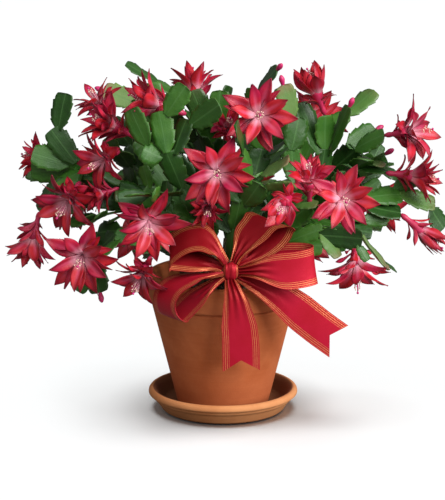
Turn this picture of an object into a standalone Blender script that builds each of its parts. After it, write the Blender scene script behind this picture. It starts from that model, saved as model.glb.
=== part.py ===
"""Potted holiday cactus: clay pot on its saucer, soil, leafy stems, blooms and a ribbon bow on a pick.

Frame: metres, +Z up. The origin is on the pot's axis at the underside of the saucer. The bow is on
the -Y side, which is the front. Places in the lists below are in millimetres and are turned into
metres by at().
"""
import math
import random

import bmesh
import bpy
from mathutils import Matrix, Quaternion, Vector
from mathutils.bvhtree import BVHTree

MM = 0.001
GAP = 0.0004                # clearance between two pieces that touch
BLOOM_GAP = 0.0003          # from a leaf's last joint to the base of its bloom
KNOT_GAP = 0.0009           # from the middle of a ribbon's flat end to the round knot

# Clay pot and saucer: radii and heights
SAUCER_FOOT_R = 0.0625
SAUCER_RIM_R = 0.080
SAUCER_H = 0.025
SAUCER_FLOOR = 0.008
POT_FOOT_R = 0.049
POT_BODY_R = 0.0765         # top of the tapered body, just under the collar
POT_BODY_H = 0.114
POT_RIM_R = 0.0815
POT_H = 0.142
POT_WALL = 0.0065
POT_LIP = 0.0095            # breadth of the rim's top
POT_FLOOR = 0.010
RIM_ROUND = 0.004           # how far the rim's rounding reaches down
DRAIN_R = 0.009
POT_Z = SAUCER_FLOOR + GAP
SIDES = 28

# Soil and the square pegs by which the stems stand in it
SOIL_TOP = POT_Z + 0.1315
SOIL_EDGE = 0.004           # drop of the soil's top towards the wall
SOIL_FLAT_R = 0.062         # the soil's top is flat within this radius
SOIL_SLACK = 0.0006         # between the soil and the pot's wall
PEG = 0.0084
PEG_DEPTH = 0.014
HOLE_PLAY = 0.0004

# Leaf segments
SEGMENT = 0.039             # spacing of the joints along a stem
LEAF_W = 0.0255
LEAF_T = 0.0026
SINK = 0.0045               # how far a side shoot's pointed root is set into the stem
NECK_STEP = 0.0012          # a side shoot's neck stands this far out of the joint
HEART = Vector((0.0, 0.03, 0.15))    # the point that the leaves turn their faces away from
TO_LIGHT = Vector((0.0, -0.65, 0.35))       # the way all leaves turn a little, up and to the front
CLEAR = 0.00025             # each piece is grown by this much in the clearance test
SPREAD = Vector((0.234, 0.190, 0.382))      # no leaf tip goes further out than this, each way

# Ribbon
RIBBON_W = 0.0385
RIBBON_T = 0.001
NARROW = 0.6                # a strip that is this much narrower than its full breadth lies square
SLANT_LEAST = 0.8           # a slanting strip is widened by no more than one over this
OPENING = 0.30              # share of a loop's length, from each end, over which it opens out
LOOP_ROWS = 14
TAIL_ROWS = 8
KNOT = Vector((0.008, -0.087, 0.172))
KNOT_R = Vector((0.0085, 0.007, 0.0095))

# Outline of a leaf segment: shares of its length and of its width, base to tip, one side
LEAF_EDGE = ((0.0, 0.12), (0.34, 0.49), (0.44, 0.41), (0.75, 0.50))
LEAF_END = ((0.97, 0.27), (0.985, 0.0))      # the free end: its corner tooth and its notch
SHOULDER = (0.12, 0.31)     # where a side shoot leaves a leaf: shares of its length and width from the tip
SHOULDER_ROOT = (0.27, 0.12)
TWIG_SHARE = 0.46           # how many of the places for a side shoot bear one
TWIG_LOW = 0.188            # no side shoots below this height
TWIG_ANGLE = (34, 62)       # degrees between a side shoot and the leaf that bears it
TWIG_LENGTH = (0.034, 0.044)
TWIG_PAIR = 0.35            # how many side shoots have a second leaf
TWIG_BUD = 0.22             # how many side shoots end in a bud
BUD_LENGTH = 0.0125
BUD_R = 0.0032
BUD_ROOT = 0.002            # how far a bud's base is set into the leaf
WOOD_R = (0.0046, 0.0036)   # radius of a stem's woody foot halfway up and at its first joint
LOW_WIDTHS = (0.48, 0.75)   # the first two leaves above the woody foot are narrower
FOLD_LIMIT = math.radians(55)                # a sharper bend in a leaf's own plane starts a new piece

# Tiers of petals by kind of bloom: count, first angle, then root, widest place and tip as
# (distance from the axis, height) in mm, and half the width. Petals stand 72 degrees apart.
PETALS = {
    "star": (
        (5, 36, (0.5, 26), (15, 43), (28, 53), 6.4),
        (5, 0, (2, 23), (19, 33.5), (36, 38), 7.4),
        (3, 0, (1, 9), (10, 16.5), (19, 18), 4.4),
    ),
    "fan": (
        (5, 36, (3, 27), (9, 46), (16, 62), 5.2),
        (5, 0, (2, 23), (15, 40), (28, 52), 7.4),
        (3, 0, (1, 9), (11, 18), (21, 23), 4.6),
    ),
    "half": (
        (5, 36, (3, 26), (10, 42), (9, 58), 5.6),
        (5, 0, (2, 22), (13, 38), (18, 54), 7.2),
        (3, 0, (1, 9), (10, 16.5), (18, 18), 4.6),
    ),
    "closed": (
        (5, 36, (3.5, 26), (6, 42), (4, 60), 3.4),
        (5, 0, (2, 20), (9, 36), (9, 54), 5.0),
        (3, 0, (1, 9), (9, 19), (16, 25), 4.0),
    ),
}
PETAL_STEP = 72
PISTIL_MM = {"star": 59, "fan": 59, "half": 55, "closed": 56}     # its tip; it is 30 mm long
PISTIL_R = 0.0016
PISTIL_L = 0.030
TUBE_MM = ((0.0, 1.4), (7.0, 2.6), (31.0, 7.4))         # height and radius of the tube behind the petals

# Blooms: throat, the way the bloom faces, kind, size
BLOOMS = {
    "bloom_01": ((-160, -62, 240), (-0.35, -0.75, -0.45), "star", 1.0),
    "bloom_02": ((-145, -78, 185), (-0.10, -0.95, -0.10), "star", 1.05),
    "bloom_03": ((-200, -20, 190), (-0.25, -0.10, -0.95), "fan", 0.95),
    "bloom_04": ((-124, -52, 281), (-0.60, -0.75, -0.20), "star", 0.85),
    "bloom_05": ((-190, 15, 270), (-0.85, -0.10, 0.20), "fan", 0.85),
    "bloom_06": ((-127, -42, 243), (-0.80, -0.50, -0.20), "fan", 0.70),
    "bloom_07": ((-130, 2, 332), (-0.50, -0.30, 0.80), "star", 0.75),
    "bloom_08": ((-115, -37, 315), (-0.75, -0.35, 0.45), "fan", 1.0),
    "bloom_09": ((-70, -35, 337), (-0.90, -0.25, 0.35), "fan", 1.1),
    "bloom_10": ((36, -60, 329), (0.05, -0.98, 0.20), "star", 1.05),
    "bloom_11": ((-6, -107, 279), (0.0, -0.97, 0.10), "star", 1.05),
    "bloom_12": ((5, -25, 310), (0.10, -0.60, 0.50), "fan", 0.80),
    "bloom_13": ((95, -15, 350), (-0.35, -0.20, 0.90), "half", 1.0),
    "bloom_14": ((195, -20, 305), (0.80, -0.45, 0.20), "star", 0.95),
    "bloom_15": ((200, -15, 257), (0.90, -0.25, -0.05), "fan", 0.95),
    "bloom_16": ((211, -26, 198), (0.75, -0.12, -0.60), "closed", 1.0),
    "bloom_17": ((88, -64, 262), (-0.05, -0.35, 0.90), "fan", 0.90),
    "bloom_18": ((62, -102, 245), (-0.30, -0.90, -0.20), "half", 0.95),
    "bloom_19": ((121, -94, 249), (0.10, -0.98, 0.10), "star", 1.0),
    "bloom_20": ((138, -62, 172), (0.05, -0.30, -0.95), "star", 1.05),
    "bloom_21": ((-75, -94, 225), (0.05, -0.95, -0.20), "star", 1.05),
    "bloom_22": ((-84, -84, 166), (-0.35, -0.70, -0.62), "star", 0.85),
    "bloom_23": ((-16, -62, 235), (0.0, -0.80, -0.30), "fan", 0.70),
    "bloom_24": ((-160, 110, 210), (-0.70, 0.60, -0.30), "star", 1.0),
    "bloom_25": ((-80, 158, 270), (-0.30, 0.90, 0.10), "star", 1.0),
    "bloom_26": ((20, 168, 220), (0.10, 0.95, -0.20), "star", 1.05),
    "bloom_27": ((100, 140, 290), (0.30, 0.85, 0.30), "star", 1.0),
    "bloom_28": ((168, 100, 200), (0.75, 0.60, -0.30), "fan", 1.0),
    "bloom_29": ((-30, 100, 328), (-0.10, 0.50, 0.85), "fan", 1.0),
    "bloom_30": ((-100, 140, 160), (-0.30, 0.80, -0.60), "fan", 0.95),
    "bloom_31": ((90, 150, 150), (0.30, 0.80, -0.55), "fan", 1.0),
}
THROAT_MM = 32

# Stems: ring radius and bearing of the foot, then the runs. The first run starts at the foot, and
# each later one starts at the joint nearest to its first point. A run ends in a bloom, a bud or a leaf.
STEMS = {
    "stem_01": (40, 191, (
        ("bloom_03", (-75, -10, 215), (-130, -25, 235), (-165, -25, 250), (-188, -20, 243)),
        ("bloom_06", (-75, -10, 215), (-82, -22, 236)),
        ("bloom_01", (-165, -25, 250)),
        ("leaf", (-165, -25, 250), (-190, -15, 260), (-216, -12, 264)),
        ("bud", (-188, -20, 243), (-226, -20, 230)),
    )),
    "stem_02": (40, 214, (
        ("bud", (-60, -44, 184), (-86, -56, 202), (-110, -52, 203), (-128, -38, 190), (-138, -38, 166),
         (-128, -52, 140)),
        ("bloom_22", (-60, -44, 184)),
        ("bloom_02", (-110, -52, 203), (-124, -34, 204)),
        ("leaf", (-138, -38, 166), (-154, -48, 142)),
    )),
    "stem_03": (40, 165, (
        ("leaf", (-60, 10, 210), (-105, -5, 230), (-135, -10, 250), (-165, -10, 270), (-200, -10, 280)),
        ("leaf", (-165, -10, 270), (-180, -5, 305)),
        ("bloom_05", (-135, -10, 250), (-150, 10, 260)),
        ("bloom_04", (-105, -5, 230), (-98, -12, 258)),
        ("bud", (-135, -10, 250), (-142, -10, 298)),
    )),
    "stem_04": (18, 205, (
        ("bloom_08", (-35, -15, 215), (-60, -20, 250), (-78, -18, 278)),
        ("bloom_07", (-78, -18, 278), (-98, 0, 288)),
        ("leaf", (-60, -20, 250), (-95, -8, 262)),
        ("leaf", (-35, -15, 215), (-62, -34, 228), (-84, -42, 246)),
    )),
    "stem_05": (40, 256, (
        ("leaf", (-16, -46, 195), (-26, -52, 225), (-40, -64, 250), (-50, -73, 275), (-60, -70, 302),
         (-65, -60, 334)),
        ("leaf", (-60, -70, 305), (-36, -62, 326)),
        ("leaf", (-50, -73, 275), (-82, -70, 296)),
    )),
    "stem_06": (18, 130, (
        ("leaf", (-5, 20, 225), (-10, 15, 265), (-15, 10, 295), (-20, 10, 320), (-32, 10, 344)),
        ("leaf", (-20, 10, 320), (-3, 5, 345)),
        ("bloom_09", (-12, 14, 280), (-25, -8, 302)),
        ("bloom_12", (-10, 15, 265), (-2, 5, 282)),
        ("bud", (-20, 10, 320), (-48, 8, 338)),
    )),
    "stem_07": (18, 282, (
        ("bloom_10", (20, -15, 215), (30, -25, 250), (40, -20, 278), (38, -16, 305)),
        ("leaf", (40, -20, 278), (62, -38, 292)),
        ("leaf", (30, -25, 250), (34, -60, 266)),
    )),
    "stem_08": (40, 278, (
        ("bloom_11", (10, -48, 205), (18, -60, 240), (4, -68, 268)),
        ("bloom_23", (10, -48, 205), (-8, -36, 228)),
        ("leaf", (18, -60, 240), (38, -74, 262)),
    )),
    "stem_09": (18, 350, (
        ("bloom_13", (40, 0, 200), (75, -5, 225), (100, -5, 245), (106, -5, 270), (106, -5, 298)),
        ("leaf", (40, 0, 200), (70, -28, 240), (75, -32, 268), (70, -30, 296), (78, -25, 322)),
        ("bud", (106, -5, 298), (132, -8, 330)),
        ("leaf", (106, -5, 298), (80, 4, 332)),
        ("leaf", (106, -5, 298), (118, -16, 332)),
    )),
    "stem_10": (40, 30, (
        ("bloom_14", (50, 35, 195), (90, 35, 225), (120, 25, 260), (140, 10, 280)),
        ("bloom_15", (120, 25, 260), (148, 10, 262)),
        ("bud", (140, 10, 280), (162, 28, 298)),
        ("bud", (148, 10, 262), (172, 15, 275)),
    )),
    "stem_11": (40, 302, (
        ("bloom_19", (30, -37, 188), (60, -38, 210), (92, -38, 224), (108, -46, 236)),
        ("bloom_18", (60, -38, 210), (60, -48, 234)),
        ("bloom_17", (60, -38, 210), (76, -46, 220)),
    )),
    "stem_12": (40, 0, (
        ("leaf", (65, -10, 195), (100, -20, 220), (135, -25, 232), (168, -15, 236), (198, 0, 232),
         (224, 5, 222)),
        ("bloom_16", (168, -15, 236)),
        ("leaf", (224, 5, 222), (233, 3, 196)),
        ("leaf", (168, -15, 236), (172, -42, 212), (178, -44, 188)),
        ("bud", (198, 0, 232), (208, 0, 256)),
    )),
    "stem_13": (40, 329, (
        ("bloom_20", (50, -50, 188), (85, -68, 204), (112, -66, 216), (130, -58, 214)),
        ("leaf", (112, -66, 216), (134, -80, 208), (158, -84, 196), (170, -80, 172)),
    )),
    "stem_14": (40, 235, (
        ("bloom_21", (-36, -44, 195), (-58, -52, 218)),
        ("leaf", (-58, -52, 218), (-46, -86, 224), (-52, -104, 204)),
    )),
    "stem_15": (40, 138, (
        ("bloom_24", (-65, 55, 200), (-105, 80, 222)),
        ("bloom_30", (-65, 55, 200), (-75, 90, 205)),
        ("leaf", (-105, 80, 222), (-148, 62, 245), (-178, 52, 240)),
        ("leaf", (-65, 55, 200), (-85, 60, 250), (-100, 55, 290)),
    )),
    "stem_16": (40, 112, (
        ("bloom_25", (-25, 50, 215), (-50, 95, 245)),
        ("bloom_29", (-25, 50, 215), (-28, 65, 262)),
        ("leaf", (-50, 95, 245), (-80, 105, 290), (-92, 95, 322)),
        ("leaf", (-50, 95, 245), (-45, 135, 225), (-48, 150, 195)),
    )),
    "stem_17": (40, 88, (
        ("bloom_26", (10, 60, 205), (16, 105, 222)),
        ("bloom_27", (10, 60, 205), (40, 80, 245), (68, 96, 264)),
        ("leaf", (40, 80, 245), (38, 85, 295), (32, 75, 335)),
        ("leaf", (10, 60, 205), (45, 105, 215), (52, 135, 190)),
    )),
    "stem_18": (40, 60, (
        ("bloom_28", (55, 50, 195), (100, 65, 212)),
        ("bloom_31", (55, 50, 195), (68, 90, 192)),
        ("leaf", (100, 65, 212), (135, 62, 242), (165, 55, 262)),
        ("leaf", (55, 50, 195), (80, 55, 245), (100, 55, 290)),
    )),
}
PICK_FOOT = (4, -60)        # where the bow's pick stands in the soil, mm
PICK_R = 0.0017
PICK_DEPTH = 0.020
PICK_BEND = 0.006           # height of the bend at the pick's top

# Loops of the bow: centre line in mm from the knot and back to it, and the ribbon's breadth direction
LOOPS = {
    "bow_loop_upper_left": (
        ((-9, -82, 198), (-20, -80, 206), (-34, -79, 205), (-46, -79, 199), (-55, -80, 191),
         (-50, -81, 187), (-34, -82, 185), (-14, -83, 180)),
        (0.0, 0.80, 0.60), 0.36),
    "bow_loop_lower_left": (
        ((-15, -92, 169), (-34, -94, 167), (-52, -95, 158), (-60, -95, 144), (-58, -95, 131),
         (-51, -95, 125), (-44, -94, 130), (-34, -92, 140), (-22, -90, 151)),
        (0.60, -0.80, 0.0), 0.28),
    "bow_loop_upper_right": (
        ((16, -82, 190), (23, -79, 202), (32, -76, 213), (41, -74, 222), (51, -73, 223),
         (56, -73, 216), (51, -74, 207), (41, -76, 197), (30, -78, 187)),
        (0.80, -0.55, -0.20), 0.28),
    "bow_loop_right": (
        ((40, -97, 176), (63, -99, 175), (85, -95, 177), (95, -86, 179), (84, -76, 180),
         (60, -71, 178), (38, -73, 170)),
        (0.12, -0.05, -0.98), 0.28),
}
# Tails of the bow: centre line in mm, breadth direction, share of full breadth at each point
TAILS = {
    "bow_tail_front": (
        ((8, -92, 163), (11, -95, 152), (14, -95, 137), (18, -91, 102), (19, -87, 66)),
        (1.0, 0.0, 0.05), (0.30, 0.68, 0.95, 1.0, 1.0)),
    "bow_tail_right": (
        ((19, -87, 166), (40, -84, 156), (59, -82, 144), (78, -80, 128), (100, -79, 110), (120, -78, 95)),
        (0.50, 0.10, 0.86), (0.28, 0.60, 0.85, 1.0, 1.0, 1.0)),
}
TAIL_NOTCH = 0.012

COLOURS = {                 # red, green, blue, roughness
    "clay": (0.42, 0.16, 0.065, 0.85),
    "saucer": (0.50, 0.21, 0.09, 0.80),
    "soil": (0.035, 0.020, 0.012, 0.95),
    "leaf": (0.030, 0.110, 0.028, 0.45),
    "petal": (0.55, 0.020, 0.060, 0.40),
    "ribbon": (0.42, 0.008, 0.022, 0.35),
    "wood": (0.22, 0.14, 0.06, 0.70),
}


# ---------------------------------------------------------------- small helpers

def at(point):
    """A place given in millimetres, as a vector in metres."""
    return Vector(point) * MM


def clear_scene():
    for obj in list(bpy.data.objects):
        bpy.data.objects.remove(obj, do_unlink=True)


def make_materials():
    made = {}
    for name, (red, green, blue, rough) in COLOURS.items():
        material = bpy.data.materials.new(name)
        material.use_nodes = True
        shader = material.node_tree.nodes["Principled BSDF"]
        shader.inputs["Base Color"].default_value = (red, green, blue, 1.0)
        shader.inputs["Roughness"].default_value = rough
        shader.inputs["Metallic"].default_value = 0.0
        material.diffuse_color = (red, green, blue, 1.0)
        made[name] = material
    return made


def mesh_from(bm, name="piece"):
    """Finishes a bmesh with its faces pointing out and hands it back as a mesh."""
    bmesh.ops.recalc_face_normals(bm, faces=bm.faces)
    mesh = bpy.data.meshes.new(name)
    bm.to_mesh(mesh)
    bm.free()
    return mesh


def add_object(name, mesh, material, round_piece=False):
    mesh.materials.clear()
    mesh.materials.append(material)
    if round_piece:
        mesh.shade_smooth()
        mesh.set_sharp_from_angle(angle=math.radians(40))
    obj = bpy.data.objects.new(name, mesh)
    bpy.context.scene.collection.objects.link(obj)
    return obj


def smooth_line(points, per_span=12):
    """Points along a Catmull-Rom curve through the given ones."""
    ends = [points[0] * 2 - points[1]] + list(points) + [points[-1] * 2 - points[-2]]
    line = []
    for i in range(1, len(ends) - 2):
        a, b, c, d = ends[i - 1:i + 3]
        for step in range(per_span):
            t = step / per_span
            line.append(0.5 * (2 * b + (c - a) * t + (2 * a - 5 * b + 4 * c - d) * t * t
                               + (3 * b - a - 3 * c + d) * t ** 3))
    line.append(points[-1].copy())
    return line


def spaced(points, count):
    """The curve through the points, read at count + 1 evenly spaced places."""
    line = smooth_line(points) if len(points) > 2 else [points[0], points[-1]]
    reach = [0.0]
    for a, b in zip(line, line[1:]):
        reach.append(reach[-1] + (b - a).length)
    places = []
    k = 0
    for i in range(count + 1):
        goal = reach[-1] * i / count
        while k < len(line) - 2 and reach[k + 1] < goal:
            k += 1
        span = max(reach[k + 1] - reach[k], 1e-9)
        places.append(line[k].lerp(line[k + 1], min(1.0, (goal - reach[k]) / span)))
    return places


def sideways(direction, facing):
    """Two unit vectors square to the direction: the face normal nearest to facing, and across."""
    normal = facing - direction * facing.dot(direction)
    if normal.length < 1e-4:
        normal = direction.orthogonal()
    normal.normalize()
    return normal, direction.cross(normal)


# ---------------------------------------------------------------- turned clay pieces and soil

def turned(profile, sides=SIDES):
    """Spins a profile of (radius, height) about Z. A profile off the axis closes on itself."""
    bm = bmesh.new()
    points = [bm.verts.new((r, 0.0, z)) for r, z in profile]
    edges = [bm.edges.new(pair) for pair in zip(points, points[1:])]
    if profile[0][0] > 0.0:
        edges.append(bm.edges.new((points[-1], points[0])))
    bmesh.ops.spin(bm, geom=points + edges, cent=(0, 0, 0), axis=(0, 0, 1),
                   angle=math.tau, steps=sides, use_merge=True)
    bmesh.ops.remove_doubles(bm, verts=bm.verts, dist=1e-6)
    return mesh_from(bm)


def saucer_mesh():
    lip = SAUCER_RIM_R
    return turned((
        (0.0, 0.0), (SAUCER_FOOT_R - 0.002, 0.0), (SAUCER_FOOT_R + 0.0035, 0.003),
        (lip - 0.0065, 0.0140), (lip - 0.0055, 0.0150), (lip - 0.0008, 0.0165), (lip, 0.0195),
        (lip - 0.0008, 0.0230), (lip - 0.0035, SAUCER_H), (lip - 0.0070, SAUCER_H - 0.0006),
        (lip - 0.0100, 0.0205), (SAUCER_FOOT_R + 0.003, 0.0095), (SAUCER_FOOT_R - 0.001, SAUCER_FLOOR),
        (0.0, SAUCER_FLOOR)))


def inner_radius(z):
    """The pot's inside radius at a height above the pot's foot."""
    low = POT_FOOT_R - POT_WALL
    high = POT_RIM_R - POT_LIP
    return low + (high - low) * (z - POT_FLOOR) / (POT_H - RIM_ROUND - POT_FLOOR)


def pot_mesh():
    foot = POT_FOOT_R
    return turned([(r, z + POT_Z) for r, z in (
        (DRAIN_R, 0.0), (foot - 0.0015, 0.0), (foot, 0.0015), (POT_BODY_R, POT_BODY_H),
        (POT_BODY_R + 0.0022, POT_BODY_H + 0.0010), (POT_BODY_R + 0.0030, POT_BODY_H + 0.0035),
        (POT_RIM_R, POT_H - RIM_ROUND), (POT_RIM_R - 0.0010, POT_H - 0.0010), (POT_RIM_R - 0.0030, POT_H),
        (POT_RIM_R - 0.0075, POT_H - 0.0005), (POT_RIM_R - POT_LIP, POT_H - RIM_ROUND),
        (inner_radius(POT_FLOOR), POT_FLOOR), (DRAIN_R, POT_FLOOR))])


def stem_foot(ring_mm, bearing):
    """Where a stem's peg enters the soil's top."""
    turn = math.radians(bearing)
    return Vector((ring_mm * MM * math.cos(turn), ring_mm * MM * math.sin(turn), SOIL_TOP))


def soil_object(material):
    top = SOIL_TOP - POT_Z
    edge = top - SOIL_EDGE
    bottom = POT_FLOOR + GAP
    mesh = turned([(r, z + POT_Z) for r, z in (
        (0.0, bottom), (inner_radius(bottom) - SOIL_SLACK, bottom), (inner_radius(edge) - SOIL_SLACK, edge),
        (SOIL_FLAT_R, top), (0.0, top))])
    soil = add_object("soil", mesh, material)
    bm = bmesh.new()
    side = PEG + 2 * HOLE_PLAY
    feet = [stem_foot(ring, bearing) for ring, bearing, _ in STEMS.values()]
    for foot in feet:
        hole = Matrix.Translation(foot) @ Matrix.Diagonal((side, side, 2 * (PEG_DEPTH + GAP), 1.0))
        bmesh.ops.create_cube(bm, size=1.0, matrix=hole)
    x, y = PICK_FOOT
    side = 2 * (PICK_R + HOLE_PLAY)
    size = Matrix.Diagonal((side, side, 2 * (PICK_DEPTH + GAP), 1.0))
    hole = Matrix.Translation((x * MM, y * MM, SOIL_TOP)) @ size
    bmesh.ops.create_cube(bm, size=1.0, matrix=hole)
    cutter = add_object("soil_holes", mesh_from(bm), material)
    cutter.hide_render = True
    cutter.display_type = "WIRE"
    holes = soil.modifiers.new("holes", "BOOLEAN")
    holes.operation = "DIFFERENCE"
    holes.object = cutter
    holes.solver = "EXACT"
    return soil


# ---------------------------------------------------------------- pieces of the plant

def rod(stations, sides):
    """A closed rod through stations of (centre, across, up, half width, half height)."""
    bm = bmesh.new()
    rings = []
    for centre, across, up, half_w, half_h in stations:
        ring = []
        for k in range(sides):
            turn = math.tau * (k + 0.5) / sides
            out = across * half_w * math.cos(turn) + up * half_h * math.sin(turn)
            ring.append(bm.verts.new(centre + out))
        rings.append(ring)
    for low, high in zip(rings, rings[1:]):
        for k in range(sides):
            n = (k + 1) % sides
            bm.faces.new((low[k], low[n], high[n], high[k]))
    bm.faces.new(rings[0])
    bm.faces.new(rings[-1])
    return mesh_from(bm)


def chain_mesh(links, grow=0.0):
    """Flat leaf segments in a row, as one body: toothed edges, narrow necks and a raised middle.

    Each link is (base, tip, facing, width, root): the first one's root is a point set into what
    bears it. grow makes a larger copy for the clearance test.
    """
    rims = []               # pairs of points on the two edges, base to tip
    ridges = []             # (row of the rims, centre, normal) of the raised middle
    before = None
    for base, tip, facing, width, _ in links:
        along = (tip - base).normalized()
        normal, across = sideways(along, facing)
        if before and across.dot(before[1]) < 0:
            normal, across = -normal, -across
        start = base if before else base + along * (NECK_STEP - grow)
        reach = (tip - start).length
        neck = (normal, across)
        if before:
            neck = ((normal + before[0]).normalized(), (across + before[1]).normalized())
        row = len(rims)
        for u, v in LEAF_EDGE:
            spread = (across if u else neck[1]) * (v * width + grow)
            centre = start + along * (u * reach)
            rims.append((centre + spread, centre - spread))
        ridges.append((row, start, neck[0]))
        ridges.append((row + 2, start + along * (reach * 0.5), normal))
        before = (normal, across)
    for u, v in LEAF_END:
        centre = start + along * (u * (reach + grow))
        spread = across * (v * width + (grow if v else 0.0))
        rims.append((centre + spread, centre - spread))

    bm = bmesh.new()
    right = [bm.verts.new(a) for a, _ in rims]
    left = [bm.verts.new(b) for _, b in rims[:-1]] + [right[-1]]
    root = bm.verts.new(links[0][4])
    for lift in (LEAF_T / 2 + grow, -LEAF_T / 2 - grow):
        tops = [(row, bm.verts.new(centre + normal * lift)) for row, centre, normal in ridges]
        for edge in (right, left):
            bm.faces.new((root, edge[0], tops[0][1]))
            for (row, low), (next_row, high) in zip(tops, tops[1:]):
                bm.faces.new((edge[row], edge[row + 1], low))
                bm.faces.new((edge[row + 1], high, low))
                bm.faces.new((edge[row + 1], edge[next_row], high))
            row, high = tops[-1]
            for i in range(row, len(edge) - 1):
                bm.faces.new((edge[i], edge[i + 1], high))
    return mesh_from(bm)


def crosses_itself(mesh):
    """Whether two faces that share no point meet."""
    faces = [tuple(face.vertices) for face in mesh.polygons]
    tree = BVHTree.FromPolygons([v.co for v in mesh.vertices], faces)
    return any(not set(faces[a]) & set(faces[b]) for a, b in tree.overlap(tree))


def chain_pieces(links):
    """Bodies for a run of links: one for each stretch that can bend as a single leafy band."""
    groups = [[links[0]]]
    for link in links[1:]:
        earlier = groups[-1][-1]
        along = (link[1] - link[0]).normalized()
        earlier_along = (earlier[1] - earlier[0]).normalized()
        fold = abs(along.dot(sideways(earlier_along, earlier[2])[1]))
        fold = max(fold, abs(earlier_along.dot(sideways(along, link[2])[1])))
        sharp = fold > math.sin(FOLD_LIMIT) or along.dot(earlier_along) < 0.35
        if sharp or crosses_itself(chain_mesh(groups[-1] + [link])):
            groups.append([])
            link = link[:4] + (link[0] - along * SINK,)
        groups[-1].append(link)
    return [chain_mesh(group) for group in groups]


def shoulder(link, side):
    """Where a side shoot leaves a segment: a place on its slanted end edge, and its root inside."""
    base, tip, facing, width, _ = link
    along = (tip - base).normalized()
    across = sideways(along, facing)[1] * side
    reach = (tip - base).length
    edge = tip - along * (reach * SHOULDER[0]) + across * (width * SHOULDER[1])
    root = tip - along * (reach * SHOULDER_ROOT[0]) + across * (width * SHOULDER_ROOT[1])
    return edge, root


def bud_mesh(base, direction):
    """A small closed bud on a leaf's tip: narrow at its base, widest past the middle."""
    across = direction.orthogonal().normalized()
    up = direction.cross(across)
    base = base - direction * BUD_ROOT
    return rod([(base + direction * BUD_LENGTH * share, across, up, BUD_R * width, BUD_R * width)
                for share, width in ((0.0, 0.45), (0.55, 1.0), (1.0, 0.25))], 5)


def petal_mesh(turn, root, middle, tip, half_width):
    """One pointed petal: its face bends across the widest place, and its back is a keel."""
    out = Vector((math.cos(turn), math.sin(turn), 0.0))
    across = Vector((-math.sin(turn), math.cos(turn), 0.0))

    def place(spot, side=0.0):
        return (out * spot[0] + Vector((0, 0, spot[1])) + across * side) * MM

    bm = bmesh.new()
    ends = [bm.verts.new(place(spot)) for spot in (root, tip)]
    sides = [bm.verts.new(place(middle, side)) for side in (half_width, -half_width)]
    for end in ends:
        bm.faces.new((end, *sides))
    for side in sides:
        bm.faces.new((*ends, side))
    return mesh_from(bm)


def bloom_pieces(kind, seed):
    """The closed pieces of one bloom, which stands on the origin and faces +Z."""
    draw = random.Random(seed)
    x, y = Vector((1, 0, 0)), Vector((0, 1, 0))
    pieces = [rod([(Vector((0, 0, h * MM)), x, y, r * MM, r * MM) for h, r in TUBE_MM], 5)]
    for count, first, root, middle, tip, half_width in PETALS[kind]:
        for k in range(count):
            turn = math.radians(first + PETAL_STEP * k + draw.uniform(-5, 5))
            stretch = draw.uniform(0.92, 1.06)
            lift = draw.uniform(-1.5, 1.5)
            pieces.append(petal_mesh(turn, root, (middle[0], middle[1] + lift * 0.5),
                                     (tip[0] * stretch, tip[1] + lift), half_width))
    bm = bmesh.new()
    bmesh.ops.create_cone(bm, cap_ends=True, segments=3, radius1=PISTIL_R, radius2=0.0, depth=PISTIL_L,
                          matrix=Matrix.Translation((0, 0, PISTIL_MM[kind] * MM - PISTIL_L / 2)))
    pieces.append(mesh_from(bm))
    return pieces


def bloom_matrix(name):
    """Places a bloom by its throat and the way it faces."""
    throat, face, _, size = BLOOMS[name]
    axis = Vector(face).normalized()
    base = at(throat) - axis * (THROAT_MM * MM * size)
    turn = Vector((0, 0, 1)).rotation_difference(axis)
    return Matrix.Translation(base) @ turn.to_matrix().to_4x4() @ Matrix.Scale(size, 4)


def union(name, pieces, material):
    """Joins closed pieces into one body with a single Boolean union."""
    body = add_object(name, pieces[0], material)
    tools = bpy.data.collections.new(name + "_pieces")
    bpy.context.scene.collection.children.link(tools)
    for piece in pieces[1:]:
        piece.materials.clear()
        piece.materials.append(material)
        tools.objects.link(bpy.data.objects.new(name + "_piece", piece))
    if pieces[1:]:
        join = body.modifiers.new("join", "BOOLEAN")
        join.operation = "UNION"
        join.operand_type = "COLLECTION"
        join.collection = tools
        join.solver = "EXACT"
        sight = bpy.context.evaluated_depsgraph_get()
        joined = bpy.data.meshes.new_from_object(body.evaluated_get(sight))
        body.modifiers.clear()
        body.data = joined
    for piece in list(tools.objects):
        bpy.data.objects.remove(piece, do_unlink=True)
    bpy.data.collections.remove(tools)
    weld(body.data)
    return body


def weld(mesh):
    """Clears the slivers that a union leaves: merges points closer than a micrometre."""
    bm = bmesh.new()
    bm.from_mesh(mesh)
    bmesh.ops.remove_doubles(bm, verts=bm.verts, dist=1e-6)
    bmesh.ops.dissolve_degenerate(bm, edges=bm.edges, dist=1e-6)
    bmesh.ops.triangulate(bm, faces=bm.faces)
    bm.to_mesh(mesh)
    bm.free()


# ---------------------------------------------------------------- keeping pieces clear of each other

class Room:
    """Remembers where pieces stand, so that a new one can be tested against them."""

    def __init__(self):
        self.taken = []

    @staticmethod
    def shell(mesh, matrix=None, grow=0.0):
        points = [v.co + v.normal * grow for v in mesh.vertices]
        if matrix:
            points = [matrix @ p for p in points]
        tree = BVHTree.FromPolygons(points, [tuple(p.vertices) for p in mesh.polygons])
        low = Vector([min(p[i] for p in points) for i in range(3)])
        high = Vector([max(p[i] for p in points) for i in range(3)])
        return tree, low, high

    def add(self, shell, *labels):
        self.taken.append((labels, shell))

    def free(self, shell, *left_out):
        tree, low, high = shell
        for labels, (other, other_low, other_high) in self.taken:
            if any(label in left_out for label in labels):
                continue
            if any(low[i] > other_high[i] or high[i] < other_low[i] for i in range(3)):
                continue
            if tree.overlap(other):
                return False
        return True


# ---------------------------------------------------------------- growing the stems

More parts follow.
